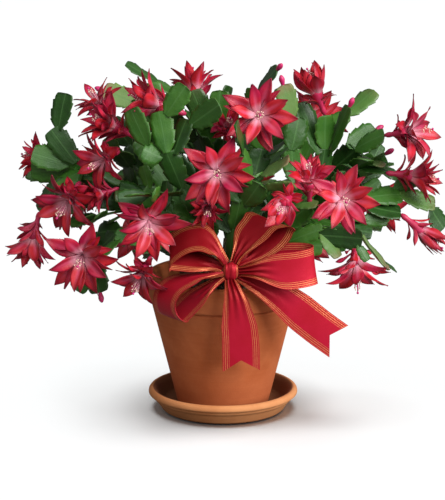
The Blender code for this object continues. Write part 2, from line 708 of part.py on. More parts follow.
TURNS = (0, 15, -15, 30, -30, 45, -45, 60, -60, 75, -75, 90)    # degrees that a leaf may be turned
WIDTHS = (1.0, 0.8, 0.6, 0.42)      # to find room, and the shares of its full width
BLOOM_TURNS = (0, 12, 24, 36, 48, 60)
BLOOM_SIZES = (1.0, 0.93, 0.86, 0.80, 0.74)


def scatter(draw, spread):
    return Vector((draw.uniform(-1, 1), draw.uniform(-1, 1), draw.uniform(-1, 1))) * spread


def facing_at(place, lean):
    """The way a leaf's face looks: away from the plant's heart and to the light, with some scatter."""
    return (place - HEART).normalized() + TO_LIGHT + lean


def fit_link(link, room, own_bloom, *left_out):
    """Tries turned and narrower leaves until one stands clear of everything not left out."""
    base, tip, facing, width, root = link
    if any(abs(tip[i]) > SPREAD[i] for i in range(3)):
        return None
    along = (tip - base).normalized()
    for share in WIDTHS:
        for turn in TURNS:
            trial = (base, tip, Quaternion(along, math.radians(turn)) @ facing, width * share, root)
            if room.free(Room.shell(chain_mesh([trial], CLEAR)), own_bloom, *left_out):
                if own_bloom is None or room.free(Room.shell(chain_mesh([trial])), *left_out):
                    return trial
    return None


def run_points(places, end):
    """Joint places of one run, evenly spaced. A run that bears a bloom ends at the bloom's base."""
    places = list(places)
    if end in BLOOMS:
        matrix = bloom_matrix(end)
        axis = (matrix.to_3x3() @ Vector((0, 0, 1))).normalized()
        goal = matrix.translation - axis * BLOOM_GAP
        back = goal - axis * SEGMENT * 0.5
        if (back - places[-1]).length > SEGMENT * 0.45:
            places.append(back)
        places.append(goal)
    line = smooth_line(places)
    length = sum((b - a).length for a, b in zip(line, line[1:]))
    return spaced(places, max(1, round(length / SEGMENT)))


def grow_stem(stem, room):
    """The stem's woody foot and its main runs: closed pieces, and the joints that may bear a twig."""
    ring, bearing, runs = STEMS[stem]
    foot = stem_foot(ring, bearing)
    pieces = []
    joints = []                 # (link, label) of every segment
    used = set()                # (label, side) of the shoulders that bear a run
    for index, (end, *points) in enumerate(runs):
        draw = random.Random(f"{stem} run {index}")
        lean = scatter(draw, 0.35)
        places = [at(p) for p in points]
        root = None
        label = f"{stem} foot"
        if index == 0:
            places = [foot, foot + Vector((foot.x * 0.08, foot.y * 0.08, 0.024))] + places
        else:
            bearer, label = min(joints, key=lambda joint: (joint[0][1] - places[0]).length)
            ahead = places[1] if len(places) > 1 else bloom_matrix(end).translation
            across = sideways((bearer[1] - bearer[0]).normalized(), bearer[2])[1]
            side = 1 if (ahead - bearer[1]).dot(across) > 0 else -1
            places[0], root = shoulder(bearer, side)
            out = (ahead - places[0]).normalized()
            if (label, side) in used or out.dot((places[0] - root).normalized()) < 0.25:
                places[0] = bearer[1]
                root = bearer[1] - out * SINK
            used.add((label, side))
        places = run_points(places, end)
        links = []
        for k, (base, tip) in enumerate(zip(places, places[1:])):
            size = draw.uniform(0.92, 1.06)
            wobble = scatter(draw, 0.25)
            along = (tip - base).normalized()
            if index == 0 and k == 0:
                pieces.append(woody_foot(foot, tip))
                room.add(Room.shell(pieces[-1]), stem, label)
                root = tip - along * SINK
                continue
            own_bloom = end if k == len(places) - 2 and end in BLOOMS else None
            low = LOW_WIDTHS[k - 1] if index == 0 and k < 3 else 1.0
            wish = (base, tip, facing_at((base + tip) / 2, lean + wobble), LEAF_W * size * low, root)
            link = fit_link(wish, room, own_bloom, label)
            if link is None and end not in BLOOMS and index:
                break
            link = link or fit_link(wish, room, own_bloom, stem) or wish[:3] + (LEAF_W * WIDTHS[-1], root)
            label = f"{stem} run {index} leaf {k}"
            links.append(link)
            room.add(Room.shell(chain_mesh([link], CLEAR)), stem, label)
            joints.append((link, label))
            root = tip - along * SINK
            if own_bloom:
                used.update(((label, 1), (label, -1)))
        if links:
            pieces += chain_pieces(links)
        if end == "bud" and links:
            pieces += fit_bud(stem, links[-1], label, room)
            used.update(((label, 1), (label, -1)))
    return pieces, joints, used


def fit_bud(stem, link, label, room):
    bud = bud_mesh(link[1], (link[1] - link[0]).normalized())
    shell = Room.shell(bud, grow=CLEAR)
    if not room.free(shell, label):
        return []
    room.add(shell, stem, label)
    return [bud]


def woody_foot(foot, tip):
    """The old wood of a stem: a square peg in the soil, then a rod that leans to the first joint."""
    x, y = Vector((1, 0, 0)), Vector((0, 1, 0))
    half = PEG / 2 / math.cos(math.pi / 4)
    along = (tip - foot).normalized()
    side, up = sideways(along, x)
    return rod([(foot - Vector((0, 0, PEG_DEPTH)), x, y, half, half),
                (foot + Vector((0, 0, 0.002)), x, y, half, half),
                (foot.lerp(tip, 0.45), side, up, WOOD_R[0], WOOD_R[0]),
                (tip, side, up, WOOD_R[1], WOOD_R[1])], 4)


def grow_twigs(stem, joints, used, room):
    """Side shoots of one or two segments from the stem's shoulders, wherever there is room."""
    pieces = []
    for index, (bearer, bearer_label) in enumerate(joints):
        along = (bearer[1] - bearer[0]).normalized()
        for side in (-1, 1):
            draw = random.Random(f"{stem} twig {index} {side}")
            wanted = draw.random() < TWIG_SHARE
            angle = math.radians(draw.uniform(*TWIG_ANGLE)) * side
            length = draw.uniform(*TWIG_LENGTH)
            size = draw.uniform(0.88, 1.06)
            count = 2 if draw.random() < TWIG_PAIR else 1
            bud = draw.random() < TWIG_BUD
            facing = facing_at(bearer[1], scatter(draw, 0.6))
            if not wanted or (bearer_label, side) in used or bearer[1].z < TWIG_LOW:
                continue
            heading = Quaternion(sideways(along, bearer[2])[0], -angle) @ along
            base, root = shoulder(bearer, side)
            links = []
            label = bearer_label
            for _ in range(count):
                heading += Vector((0, 0, -0.10)) + (base - HEART).normalized() * 0.25
                heading.normalize()
                wish = (base, base + heading * length, facing, LEAF_W * size, root)
                link = fit_link(wish, room, None, label)
                if link is None:
                    break
                label = f"{stem} twig {index} {side} leaf {len(links)}"
                links.append(link)
                room.add(Room.shell(chain_mesh([link], CLEAR)), stem, label)
                base = link[1]
                root = base - heading * SINK
            if links:
                pieces += chain_pieces(links)
            if bud and links:
                pieces += fit_bud(stem, links[-1], label, room)
    return pieces


# ---------------------------------------------------------------- the bow

def strip_mesh(centres, breadth, shares, notch=0.0):
    """A closed strip of ribbon: three columns of points on each face, with an optional end notch.

    The breadth keeps its direction, so that a tight fold doesn't cross itself, and it turns square
    to the strip only where the strip narrows towards the knot.
    """
    bm = bmesh.new()
    rows = []
    steady = breadth.normalized()
    last = len(centres) - 1
    for k, centre in enumerate(centres):
        ahead = (centres[min(k + 1, last)] - centres[max(k - 1, 0)]).normalized()
        squared = min(1.0, (1.0 - shares[k]) / NARROW)
        across = (steady - ahead * steady.dot(ahead) * squared).normalized()
        slant = ahead.cross(across)
        normal = slant.normalized()
        half = across * RIBBON_W * shares[k] / 2 / max(slant.length, SLANT_LEAST)
        thick = normal * RIBBON_T / 2
        middle = centre - ahead * (notch if k == last else 0.0)
        rows.append([bm.verts.new(p) for p in (
            centre - half + thick, middle + thick, centre + half + thick,
            centre + half - thick, middle - thick, centre - half - thick)])
    for low, high in zip(rows, rows[1:]):
        for k in range(6):
            n = (k + 1) % 6
            bm.faces.new((low[k], low[n], high[n], high[k]))
    for row in (rows[0], rows[-1]):
        bm.faces.new((row[0], row[1], row[4], row[5]))
        bm.faces.new((row[1], row[2], row[3], row[4]))
    return mesh_from(bm)


def knot_edge(direction):
    """Distance from the knot's centre to its surface along a direction."""
    return 1.0 / math.sqrt(sum((direction[i] / KNOT_R[i]) ** 2 for i in range(3)))


def knot_seat(place):
    """Where a strip that comes from a place meets the knot."""
    out = (place - KNOT).normalized()
    return KNOT + out * (knot_edge(out) + KNOT_GAP)


def loop_mesh(points, breadth, pinch):
    """A loop that leaves the knot, follows its points and comes back, narrow at the knot."""
    route = [at(p) for p in points]
    route = [knot_seat(route[0])] + route + [knot_seat(route[-1])]
    centres = spaced(route, LOOP_ROWS)
    shares = []
    for k in range(LOOP_ROWS + 1):
        t = min(1.0, min(k, LOOP_ROWS - k) / LOOP_ROWS / OPENING)
        shares.append(pinch + (1 - pinch) * t * t * (3 - 2 * t))
    return strip_mesh(centres, Vector(breadth), shares)


def tail_mesh(points, breadth, shares):
    route = [at(p) for p in points]
    centres = spaced([knot_seat(route[0])] + route, TAIL_ROWS)
    spread = []
    for k in range(TAIL_ROWS + 1):
        place = k / TAIL_ROWS * (len(shares) - 1)
        low = min(int(place), len(shares) - 2)
        spread.append(shares[low] + (shares[low + 1] - shares[low]) * (place - low))
    return strip_mesh(centres, Vector(breadth), spread, TAIL_NOTCH)


def knot_mesh():
    bm = bmesh.new()
    bmesh.ops.create_uvsphere(bm, u_segments=16, v_segments=10, radius=1.0,
                              matrix=Matrix.Translation(KNOT) @ Matrix.Diagonal((*KNOT_R, 1.0)))
    return mesh_from(bm)


def pick_mesh():
    """The pick that holds the knot: a thin stick in the soil, bent over the pot's rim."""
    x, y = PICK_FOOT
    foot = Vector((x * MM, y * MM, SOIL_TOP))
    toward = (KNOT - Vector((foot.x, foot.y, KNOT.z))).normalized()
    end = KNOT - toward * (knot_edge(toward) + GAP)
    side = Vector((1, 0, 0))
    front = Vector((0, 1, 0))
    up = Vector((0, 0, 1))
    return rod([(foot - Vector((0, 0, PICK_DEPTH)), side, front, PICK_R, PICK_R),
                (Vector((foot.x, foot.y, KNOT.z - PICK_BEND)), side, front, PICK_R, PICK_R),
                (Vector((foot.x, foot.y - 0.004, KNOT.z)), side, (front + up).normalized(), PICK_R, PICK_R),
                (end, side, up, PICK_R, PICK_R)], 6)


# ---------------------------------------------------------------- the whole plant

def build():
    clear_scene()
    material = make_materials()
    room = Room()

    fixed = {
        "saucer": (saucer_mesh(), "saucer", True),
        "pot": (pot_mesh(), "clay", True),
        "bow_knot": (knot_mesh(), "ribbon", True),
        "bow_pick": (pick_mesh(), "wood", True),
    }
    for name, (points, breadth, pinch) in LOOPS.items():
        fixed[name] = (loop_mesh(points, breadth, pinch), "ribbon", False)
    for name, (points, breadth, shares) in TAILS.items():
        fixed[name] = (tail_mesh(points, breadth, shares), "ribbon", False)
    for name, (mesh, colour, is_round) in fixed.items():
        room.add(Room.shell(mesh, grow=CLEAR), name)
        add_object(name, mesh, material[colour], is_round)
    soil_object(material["soil"])

    shared = {}
    for name, (_, _, kind, _) in BLOOMS.items():
        look = int(name[-2:]) % 3
        if (kind, look) not in shared:
            shaped = union(f"{kind}_{look}", bloom_pieces(kind, f"{kind} {look}"), material["petal"])
            shared[kind, look] = shaped.data
            bpy.data.objects.remove(shaped, do_unlink=True)
        mesh = shared[kind, look]
        place = fit_bloom(name, mesh, room)
        bloom = add_object(name, mesh, material["petal"])
        bloom.matrix_world = place
        room.add(Room.shell(mesh, place, grow=CLEAR), name)

    grown = {}
    for stem in STEMS:
        grown[stem] = grow_stem(stem, room)
    for stem, (pieces, joints, used) in grown.items():
        twigs = grow_twigs(stem, joints, used, room)
        union(stem, pieces + twigs, material["leaf"])


def fit_bloom(name, mesh, room):
    """Turns a bloom about its own axis, or makes it a little smaller, until it is clear."""
    place = bloom_matrix(name)
    for size in BLOOM_SIZES:
        for turn in BLOOM_TURNS:
            trial = place @ Matrix.Rotation(math.radians(turn), 4, "Z") @ Matrix.Scale(size, 4)
            if room.free(Room.shell(mesh, trial, grow=CLEAR)):
                return trial
    return place


build()
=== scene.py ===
# %% [markdown]
# # A potted holiday cactus in bloom
# The plain model already has every form in its place: a clay pot on its saucer, soil, leafy stems,
# blooms and a ribbon bow. Here each of those plain solids gets its skin: thin leaves with scalloped
# edges, folded petals with a silky gradient, satin ribbon with gold lines, and fired clay.
# The plain model is loaded first and is never moved, so everything new is built where it stands.

# %% Load the plain model
import math
import random

import bmesh
import bpy
from mathutils import Matrix, Quaternion, Vector, noise
from mathutils.bvhtree import BVHTree


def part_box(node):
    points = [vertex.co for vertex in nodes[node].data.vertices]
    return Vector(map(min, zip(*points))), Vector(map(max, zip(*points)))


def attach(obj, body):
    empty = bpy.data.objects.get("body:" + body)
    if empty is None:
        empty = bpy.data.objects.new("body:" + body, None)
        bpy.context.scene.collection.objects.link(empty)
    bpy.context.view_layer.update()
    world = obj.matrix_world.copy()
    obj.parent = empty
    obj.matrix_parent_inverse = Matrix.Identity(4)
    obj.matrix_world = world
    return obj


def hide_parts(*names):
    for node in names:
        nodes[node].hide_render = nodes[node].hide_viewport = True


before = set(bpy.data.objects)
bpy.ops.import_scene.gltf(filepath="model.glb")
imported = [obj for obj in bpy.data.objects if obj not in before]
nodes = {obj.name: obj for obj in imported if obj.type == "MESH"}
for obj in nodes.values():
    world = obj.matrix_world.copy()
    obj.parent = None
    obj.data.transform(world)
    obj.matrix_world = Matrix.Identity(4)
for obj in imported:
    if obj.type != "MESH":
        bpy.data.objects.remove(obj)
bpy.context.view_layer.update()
MM = 0.001

# %% [markdown]
# A few small helpers come first. One turns the tables' millimetres into a place in metres. Another
# finishes every new piece in the same way: it makes the mesh, gives it its material, lets it ride on
# the model's one body, and hides the plain solids it stands for.

# %% Helpers for places and pieces
def at(point):
    return Vector(point) * MM


def mesh_of(bm, name):
    mesh = bpy.data.meshes.new(name)
    bm.to_mesh(mesh)
    bm.free()
    return mesh


def placed(name, data):
    """An object of its own for a mesh, a lamp or a lens, put in the scene."""
    item = bpy.data.objects.new(name, data)
    bpy.context.scene.collection.objects.link(item)
    return item


def finish_piece(name, bm, material, stands_for=(), sharp=None):
    mesh = mesh_of(bm, name)
    mesh.materials.append(material)
    mesh.shade_smooth()
    if sharp:
        mesh.set_sharp_from_angle(angle=math.radians(sharp))
    piece = placed(name, mesh)
    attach(piece, "root")
    if stands_for:
        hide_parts(*stands_for)
    return piece

# %% [markdown]
# Three more helpers serve the growing parts. A search tree answers how far a place is from a plain
# solid's surface, and that tells later whether a leaf stands where its plain one does.

# %% Helpers for turning, copying and searching
def tree_of(node):
    """A search tree over a plain solid's faces."""
    mesh = nodes[node].data
    return BVHTree.FromPolygons([v.co for v in mesh.vertices], [tuple(f.vertices) for f in mesh.polygons])


def turned_to(direction):
    """The turn that takes the height axis to a direction."""
    return Vector((0, 0, 1)).rotation_difference(direction).to_matrix().to_4x4()


def add_copy(bm, mesh, place):
    """Adds a mesh at a place."""
    first = len(bm.verts)
    bm.from_mesh(mesh)
    bm.verts.ensure_lookup_table()
    bmesh.ops.transform(bm, matrix=place, verts=bm.verts[first:])


print("faces of the first plain stem:", len(nodes["stem_01"].data.polygons))

# %% [markdown]
# Materials are made of nodes. Adding a node, setting its sockets and joining it takes three calls
# each time, so these helpers do it in one: a value that is a socket is joined, any other is set.

# %% Helpers for material nodes
def add(tree, kind, settings=None, **inputs):
    node = tree.nodes.new(kind)
    for key, value in (settings or {}).items():
        setattr(node, key, value)
    for key, value in inputs.items():
        socket = node.inputs[key.replace("_", " ")]
        if isinstance(value, bpy.types.NodeSocket):
            tree.links.new(value, socket)
        else:
            socket.default_value = value
    return node


def plug(tree, value, socket):
    if isinstance(value, bpy.types.NodeSocket):
        tree.links.new(value, socket)
    else:
        socket.default_value = value


def mixed(tree, factor, a, b):
    """The colour between a and b."""
    node = add(tree, "ShaderNodeMix", {"data_type": "RGBA", "clamp_factor": True})
    for value, socket in ((factor, node.inputs[0]), (a, node.inputs[6]), (b, node.inputs[7])):
        plug(tree, value, socket)
    return node.outputs[2]


def sums(tree, operation, a, b=0.0):
    """One step of arithmetic."""
    node = add(tree, "ShaderNodeMath", {"operation": operation})
    plug(tree, a, node.inputs[0])
    plug(tree, b, node.inputs[1])
    return node.outputs[0]


def ramped(tree, value, low, high, to_low=0.0, to_high=1.0):
    """The value between low and high, smoothly spread over the new range."""
    node = add(tree, "ShaderNodeMapRange", {"interpolation_type": "SMOOTHSTEP"})
    for number, item in enumerate((value, low, high, to_low, to_high)):
        plug(tree, item, node.inputs[number])
    return node.outputs[0]


def new_material(name, **values):
    """A material with its Principled shader, whose even values are set on its own sockets."""
    material = bpy.data.materials.new(name)
    material.use_nodes = True
    shader = material.node_tree.nodes["Principled BSDF"]
    for key, value in values.items():
        shader.inputs[key.replace("_", " ")].default_value = value
    return material, material.node_tree, shader


def colour(red, green, blue):
    return (red, green, blue, 1.0)

# %% [markdown]
# Most finishes need the same few things: where a spot lies on its piece, a value that was written on
# the mesh, noise that is drawn out into streaks, and at the end the joining to the shader. A piece's
# own map follows its surface, so a vein bends with its petal.

# %% Helpers for a piece's own map
def dress(tree, shader, **inputs):
    """Plugs a finish into the shader."""
    for key, value in inputs.items():
        plug(tree, value, shader.inputs[key.replace("_", " ")])


def own_map(tree):
    """A piece's own map: the place on it, the share across and the share along."""
    where = add(tree, "ShaderNodeUVMap", {"uv_map": "UVMap"}).outputs["UV"]
    parts = add(tree, "ShaderNodeSeparateXYZ", Vector=where)
    return where, parts.outputs["X"], parts.outputs["Y"]


def painted(tree, layer):
    """A value that was written on the mesh."""
    return add(tree, "ShaderNodeAttribute", {"attribute_name": layer}).outputs["Fac"]


def streaked(tree, place, squeeze, detail):
    """Noise drawn out into streaks: a big squeeze packs it closely along that axis."""
    squeezed = add(tree, "ShaderNodeMapping", Vector=place)
    squeezed.inputs["Scale"].default_value = squeeze
    return add(tree, "ShaderNodeTexNoise", Vector=squeezed.outputs["Vector"], Scale=1.0,
               Detail=detail).outputs["Fac"]

# %% [markdown]
# Nothing that grew or was fired in a kiln has one flat colour. Two effects are shared by many
# finishes here, so each is a node group, built once: a cloudy change between two colours, and a fine
# relief that a light can catch.

# %% Groups for clouded colour and fine relief
def new_group(name, inputs, output):
    """A node group with its sockets, given as (name, kind), and what goes in and comes out."""
    group = bpy.data.node_groups.new(name, "ShaderNodeTree")
    for (label, kind), way in [(socket, "INPUT") for socket in inputs] + [(output, "OUTPUT")]:
        group.interface.new_socket(label, in_out=way, socket_type=f"NodeSocket{kind}")
    return group, group.nodes.new("NodeGroupInput").outputs, group.nodes.new("NodeGroupOutput").inputs[0]


def make_clouds():
    group, given, result = new_group(
        "Clouded colour", (("Colour", "Color"), ("Other Colour", "Color"), ("Scale", "Float"),
                           ("Contrast", "Float")), ("Colour", "Color"))
    place = add(group, "ShaderNodeTexCoord").outputs["Object"]
    cloud = add(group, "ShaderNodeTexNoise", Vector=place, Scale=given["Scale"], Detail=5.0,
                Roughness=0.6).outputs["Fac"]
    low = sums(group, "SUBTRACT", 0.5, given["Contrast"])
    high = sums(group, "ADD", 0.5, given["Contrast"])
    plug(group, mixed(group, ramped(group, cloud, low, high), given[0], given[1]), result)
    return group


def make_relief():
    group, given, result = new_group(
        "Fine relief", (("Scale", "Float"), ("Strength", "Float"), ("Depth", "Float"),
                        ("Extra Height", "Float")), ("Normal", "Vector"))
    place = add(group, "ShaderNodeTexCoord").outputs["Object"]
    grain = add(group, "ShaderNodeTexNoise", Vector=place, Scale=given["Scale"], Detail=4.0,
                Roughness=0.65).outputs["Fac"]
    bump = add(group, "ShaderNodeBump", Strength=given["Strength"], Distance=given["Depth"],
               Height=sums(group, "ADD", grain, given["Extra Height"]))
    plug(group, bump.outputs["Normal"], result)
    return group


CLOUDS = make_clouds()
RELIEF = make_relief()
print("shared effects:", CLOUDS.name, "and", RELIEF.name)

# %% [markdown]
# A group is placed in a material as one node, with that material's own values on its sockets. The
# simplest finishes here are nothing but one clouded colour and perhaps a relief.

# %% Placing the groups
def clouded(tree, first, second, scale, contrast):
    node = add(tree, "ShaderNodeGroup", {"node_tree": CLOUDS}, Scale=scale, Contrast=contrast)
    plug(tree, first, node.inputs[0])
    plug(tree, second, node.inputs[1])
    return node.outputs["Colour"]


def relief(tree, scale, strength, depth, extra=0.0):
    node = add(tree, "ShaderNodeGroup", {"node_tree": RELIEF}, Scale=scale, Strength=strength, Depth=depth)
    plug(tree, extra, node.inputs["Extra Height"])
    return node.outputs["Normal"]


def cloudy_material(name, roughness, first, second, scale, contrast, bump=None):
    """A whole finish of one clouded colour, with a relief's scale, strength and depth or none."""
    material, tree, shader = new_material(name, Roughness=roughness)
    dress(tree, shader, Base_Color=clouded(tree, first, second, scale, contrast))
    if bump:
        dress(tree, shader, Normal=relief(tree, *bump))
    return material

# %% [markdown]
# Unglazed clay is dull and warm. It is a little paler where lime has dried on it, darker where it
# was handled, and darker still towards the foot, a painted shade. It keeps faint rings from the
# turning. The rings are noise that is squeezed along the height, so each one runs right round the pot.
# Inside the saucer the clay is painted nearly black, a painted shade where the pot stands over it.

# %% Fired clay
SAUCER_SHADE_FADE = 0.0008         # half the breadth over which the painted shade inside the saucer fades
POT_SHADE_TOP = 0.105            # the height at which the painted shade at the pot's foot has faded out
SAUCER_SHADE_TOP = 0.004
SAUCER_SHADE_R = 0.0625            # the radius of the painted shade inside the saucer, at the floor


def clay_material(name, warm, pale, dark, shade_top, shade_radius=None):
    material, tree, shader = new_material(name, Roughness=0.82, Specular_IOR_Level=0.25)
    place = add(tree, "ShaderNodeTexCoord").outputs["Object"]
    rings = streaked(tree, place, (2.0, 2.0, 260.0), 3.0)
    body = clouded(tree, warm, pale, 16.0, 0.30)
    worn = clouded(tree, body, dark, 55.0, 0.34)
    tone = mixed(tree, 0.35, body, worn)
    tone = mixed(tree, ramped(tree, rings, 0.45, 0.75, 0.0, 0.22), tone, pale)
    height = add(tree, "ShaderNodeSeparateXYZ", Vector=place).outputs["Z"]
    # Painted shade: darker towards the foot, fading out at the given height.
    tone = mixed(tree, ramped(tree, height, 0.0, shade_top, 0.42, 0.0), tone, dark)
    if shade_radius:        # a round painted shade: the distance from the axis, a little less higher up
        flat = add(tree, "ShaderNodeVectorMath", {"operation": "MULTIPLY"})
        plug(tree, place, flat.inputs[0])
        flat.inputs[1].default_value = (1, 1, 0)
        away = add(tree, "ShaderNodeVectorMath", {"operation": "LENGTH"})
        plug(tree, flat.outputs["Vector"], away.inputs[0])
        inside = sums(tree, "SUBTRACT", away.outputs["Value"], sums(tree, "MULTIPLY", height, 0.5))
        saucer_shade = ramped(tree, inside, shade_radius - SAUCER_SHADE_FADE, shade_radius + SAUCER_SHADE_FADE, 0.80, 0.0)
        # Painted shade: nearly black inside the saucer, where the pot shades it.
        tone = mixed(tree, saucer_shade, tone, colour(0.085, 0.022, 0.008))
    normal = relief(tree, 900.0, 0.35, 0.0004, sums(tree, "MULTIPLY", rings, 1.6))
    dress(tree, shader, Base_Color=tone, Normal=normal)
    return material


pot_clay = clay_material("pot clay", colour(0.48, 0.114, 0.030), colour(0.60, 0.180, 0.064),
                         colour(0.29, 0.046, 0.010), POT_SHADE_TOP)
saucer_clay = clay_material("saucer clay", colour(0.50, 0.185, 0.062), colour(0.60, 0.27, 0.11),
                            colour(0.34, 0.095, 0.028), SAUCER_SHADE_TOP, SAUCER_SHADE_R)
print("clay finishes:", pot_clay.name, saucer_clay.name)

# %% [markdown]
# A turned pot is a profile spun round its axis. The corners of hand-thrown clay are never sharp, so
# each corner of the profile is first rounded with a short curve.

# %% Spinning a rounded profile
def rounded(profile, radius=0.0012, steps=4):
    """The profile with each inner corner replaced by a small curve, never over half a side long."""
    points = [Vector((r, 0.0, z)) for r, z in profile]
    smooth = [points[0]]
    for before, corner, after in zip(points, points[1:], points[2:]):
        back = before - corner
        on = after - corner
        start = corner + back.normalized() * min(radius, back.length * 0.45)
        end = corner + on.normalized() * min(radius, on.length * 0.45)
        for step in range(steps + 1):
            t = step / steps
            smooth.append(start * (1 - t) ** 2 + corner * 2 * t * (1 - t) + end * t * t)
    return smooth + [points[-1]]


MERGED = 1e-6               # points this near to each other become one


def spun(points, steps=96, closed=False):
    """A solid of revolution about the height axis."""
    bm = bmesh.new()
    line = [bm.verts.new(point) for point in points]
    pairs = list(zip(line, line[1:])) + ([(line[-1], line[0])] if closed else [])
    edges = [bm.edges.new(pair) for pair in pairs]
    bmesh.ops.spin(bm, geom=line + edges, cent=(0, 0, 0), axis=(0, 0, 1), angle=math.tau,
                   steps=steps, use_merge=True)
    bmesh.ops.remove_doubles(bm, verts=bm.verts[:], dist=MERGED)
    bmesh.ops.recalc_face_normals(bm, faces=bm.faces[:])
    return bm

# %% [markdown]
# The saucer is a shallow dish with a thick rolled rim, a step under the rim and a flat foot. It keeps
# its plain solid's size: the radius and the top are measured on that solid, and the profile's
# corners are set off from them, in metres.

# %% Saucer
saucer_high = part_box("saucer")[1]
SAUCER_R = saucer_high.x
SAUCER_TOP = saucer_high.z
SAUCER_FOOT_R = SAUCER_R - 0.0175
saucer_profile = [
    (0.0, 0.0), (SAUCER_FOOT_R - 0.002, 0.0), (SAUCER_FOOT_R + 0.0030, 0.0022),
    (SAUCER_R - 0.0076, 0.0126), (SAUCER_R - 0.0056, 0.0136), (SAUCER_R - 0.0046, 0.0156),
    (SAUCER_R - 0.0050, 0.0168), (SAUCER_R - 0.0014, 0.0176),
    (SAUCER_R, 0.0195), (SAUCER_R - 0.0008, 0.0230), (SAUCER_R - 0.0035, SAUCER_TOP),
    (SAUCER_R - 0.0070, SAUCER_TOP - 0.0006), (SAUCER_R - 0.0100, 0.0205),
    (SAUCER_FOOT_R + 0.003, 0.0095), (SAUCER_FOOT_R - 0.001, 0.0080), (0.0, 0.0080)]
SAUCER_ROUNDING = 0.0016
saucer_shape = spun(rounded(saucer_profile, SAUCER_ROUNDING))
finish_piece("turned_saucer", saucer_shape, saucer_clay, ["saucer"])
print("saucer:", round(SAUCER_R * 2000), "mm across,", round(SAUCER_TOP * 1000), "mm tall")

# %% [markdown]
# The pot tapers from its foot to a collar, which stands out a little and carries the rim. Its
# profile is a closed ring, down the inside too, so the wall has a thickness and the foot has its
# drain hole.

# %% Pot
pot_low, pot_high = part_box("pot")
POT_FOOT_Z = pot_low.z
POT_TOP = pot_high.z
RIM_R = pot_high.x
FOOT_R = RIM_R - 0.0325
BODY_R = RIM_R - 0.0050
COLLAR_Z = POT_TOP - 0.028
INSIDE_R = RIM_R - 0.0095
DRAIN_R = 0.009
pot_profile = [
    (DRAIN_R, POT_FOOT_Z), (FOOT_R - 0.0015, POT_FOOT_Z), (FOOT_R, POT_FOOT_Z + 0.0015),
    (BODY_R - 0.0002, COLLAR_Z - 0.0030), (BODY_R - 0.0016, COLLAR_Z - 0.0006),
    (BODY_R + 0.0024, COLLAR_Z + 0.0004), (BODY_R + 0.0030, COLLAR_Z + 0.0035),
    (RIM_R, POT_TOP - 0.0040), (RIM_R - 0.0010, POT_TOP - 0.0010), (RIM_R - 0.0030, POT_TOP),
    (RIM_R - 0.0075, POT_TOP - 0.0005), (INSIDE_R, POT_TOP - 0.0040),
    (FOOT_R - 0.0065, POT_FOOT_Z + 0.010), (DRAIN_R, POT_FOOT_Z + 0.010)]
pot_shape = spun(rounded(pot_profile + pot_profile[:2])[:-1], closed=True)
finish_piece("turned_pot", pot_shape, pot_clay, ["pot"])
print("pot:", round(RIM_R * 2000), "mm across,", round((POT_TOP - POT_FOOT_Z) * 1000), "mm tall")

# %% [markdown]
# Potting soil is dark, damp and crumbly. Its top is the plain solid's, falling a little to the pot's
# wall, and made uneven with noise.

# %% Soil bed
def soil_material():
    material, tree, shader = new_material("potting soil", Roughness=0.95, Specular_IOR_Level=0.15)
    tone = clouded(tree, colour(0.012, 0.007, 0.004), colour(0.060, 0.034, 0.018), 220.0, 0.2)
    fleck = clouded(tree, tone, colour(0.16, 0.11, 0.07), 420.0, 0.1)
    dress(tree, shader, Base_Color=mixed(tree, 0.35, tone, fleck), Normal=relief(tree, 500.0, 0.9, 0.0015))
    return material


potting_soil = soil_material()
soil_low, soil_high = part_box("soil")
SOIL_TOP = soil_high.z
SOIL_R = soil_high.x
SOIL_FOOT_R = FOOT_R - 0.007
SOIL_FALL = 0.004           # how much lower the soil lies at the pot's wall
SOIL_RINGS = 22
SOIL_ROUGH = 0.0016         # the most that noise lifts the soil
SOIL_UNDER = 0.0008         # the bed starts this much lower, so the noise can lift it
LUMPS = 240                 # the noise's fineness


def soil_height(away):
    """The soil's height at a distance from its middle."""
    return SOIL_TOP - SOIL_FALL * (away / SOIL_R) ** 4


outer = [SOIL_R * k / SOIL_RINGS for k in range(SOIL_RINGS, -1, -1)]
bed = spun([Vector((0, 0, soil_low.z)), Vector((SOIL_FOOT_R, 0, soil_low.z))]
           + [Vector((r, 0, soil_height(r) - SOIL_UNDER)) for r in outer], steps=72)
for vert in bed.verts:
    edge = 1.0 - min(1.0, vert.co.xy.length / SOIL_R) ** 8
    if vert.co.z > SOIL_TOP - 2 * SOIL_FALL:
        vert.co.z += edge * SOIL_ROUGH * noise.noise(vert.co * LUMPS) - SOIL_UNDER / 2
finish_piece("soil_bed", bed, potting_soil, ["soil"])
print("soil:", round(SOIL_R * 2000), "mm across, its top at", round(SOIL_TOP * 1000), "mm")

# %% [markdown]
# Loose crumbs lie all over the soil. Each crumb is a ball of twenty faces, flattened, turned and
# knocked out of shape, because anything finer would be lost at this size.

# %% Crumbs
CRUMBS = 1100
CRUMB_R = (0.0007, 0.0021)
CRUMBS_TO = 0.94            # the share of the soil's radius that they reach


def scatter(draw, spread):
    """A vector with each of its parts anywhere from -spread to spread."""
    return Vector((draw.uniform(-1, 1), draw.uniform(-1, 1), draw.uniform(-1, 1))) * spread


def scattered_crumbs():
    draw = random.Random("crumbs")
    bm = bmesh.new()
    for _ in range(CRUMBS):
        turn = draw.uniform(0, math.tau)
        away = SOIL_R * CRUMBS_TO * math.sqrt(draw.random())
        size = draw.uniform(*CRUMB_R)
        place = Matrix.Translation((away * math.cos(turn), away * math.sin(turn), soil_height(away)))
        tilt = Matrix.Rotation(draw.uniform(0, 6), 4, "X")
        shape = tilt @ Matrix.Diagonal((1, draw.uniform(0.6, 1), 0.6, 1))
        made = bmesh.ops.create_icosphere(bm, subdivisions=1, radius=size, matrix=place @ shape)
        for vert in made["verts"]:
            vert.co += scatter(draw, size * 0.25)
    return bm


crumbs = finish_piece("soil_crumbs", scattered_crumbs(), potting_soil)
print("crumbs:", len(crumbs.data.polygons), "faces")

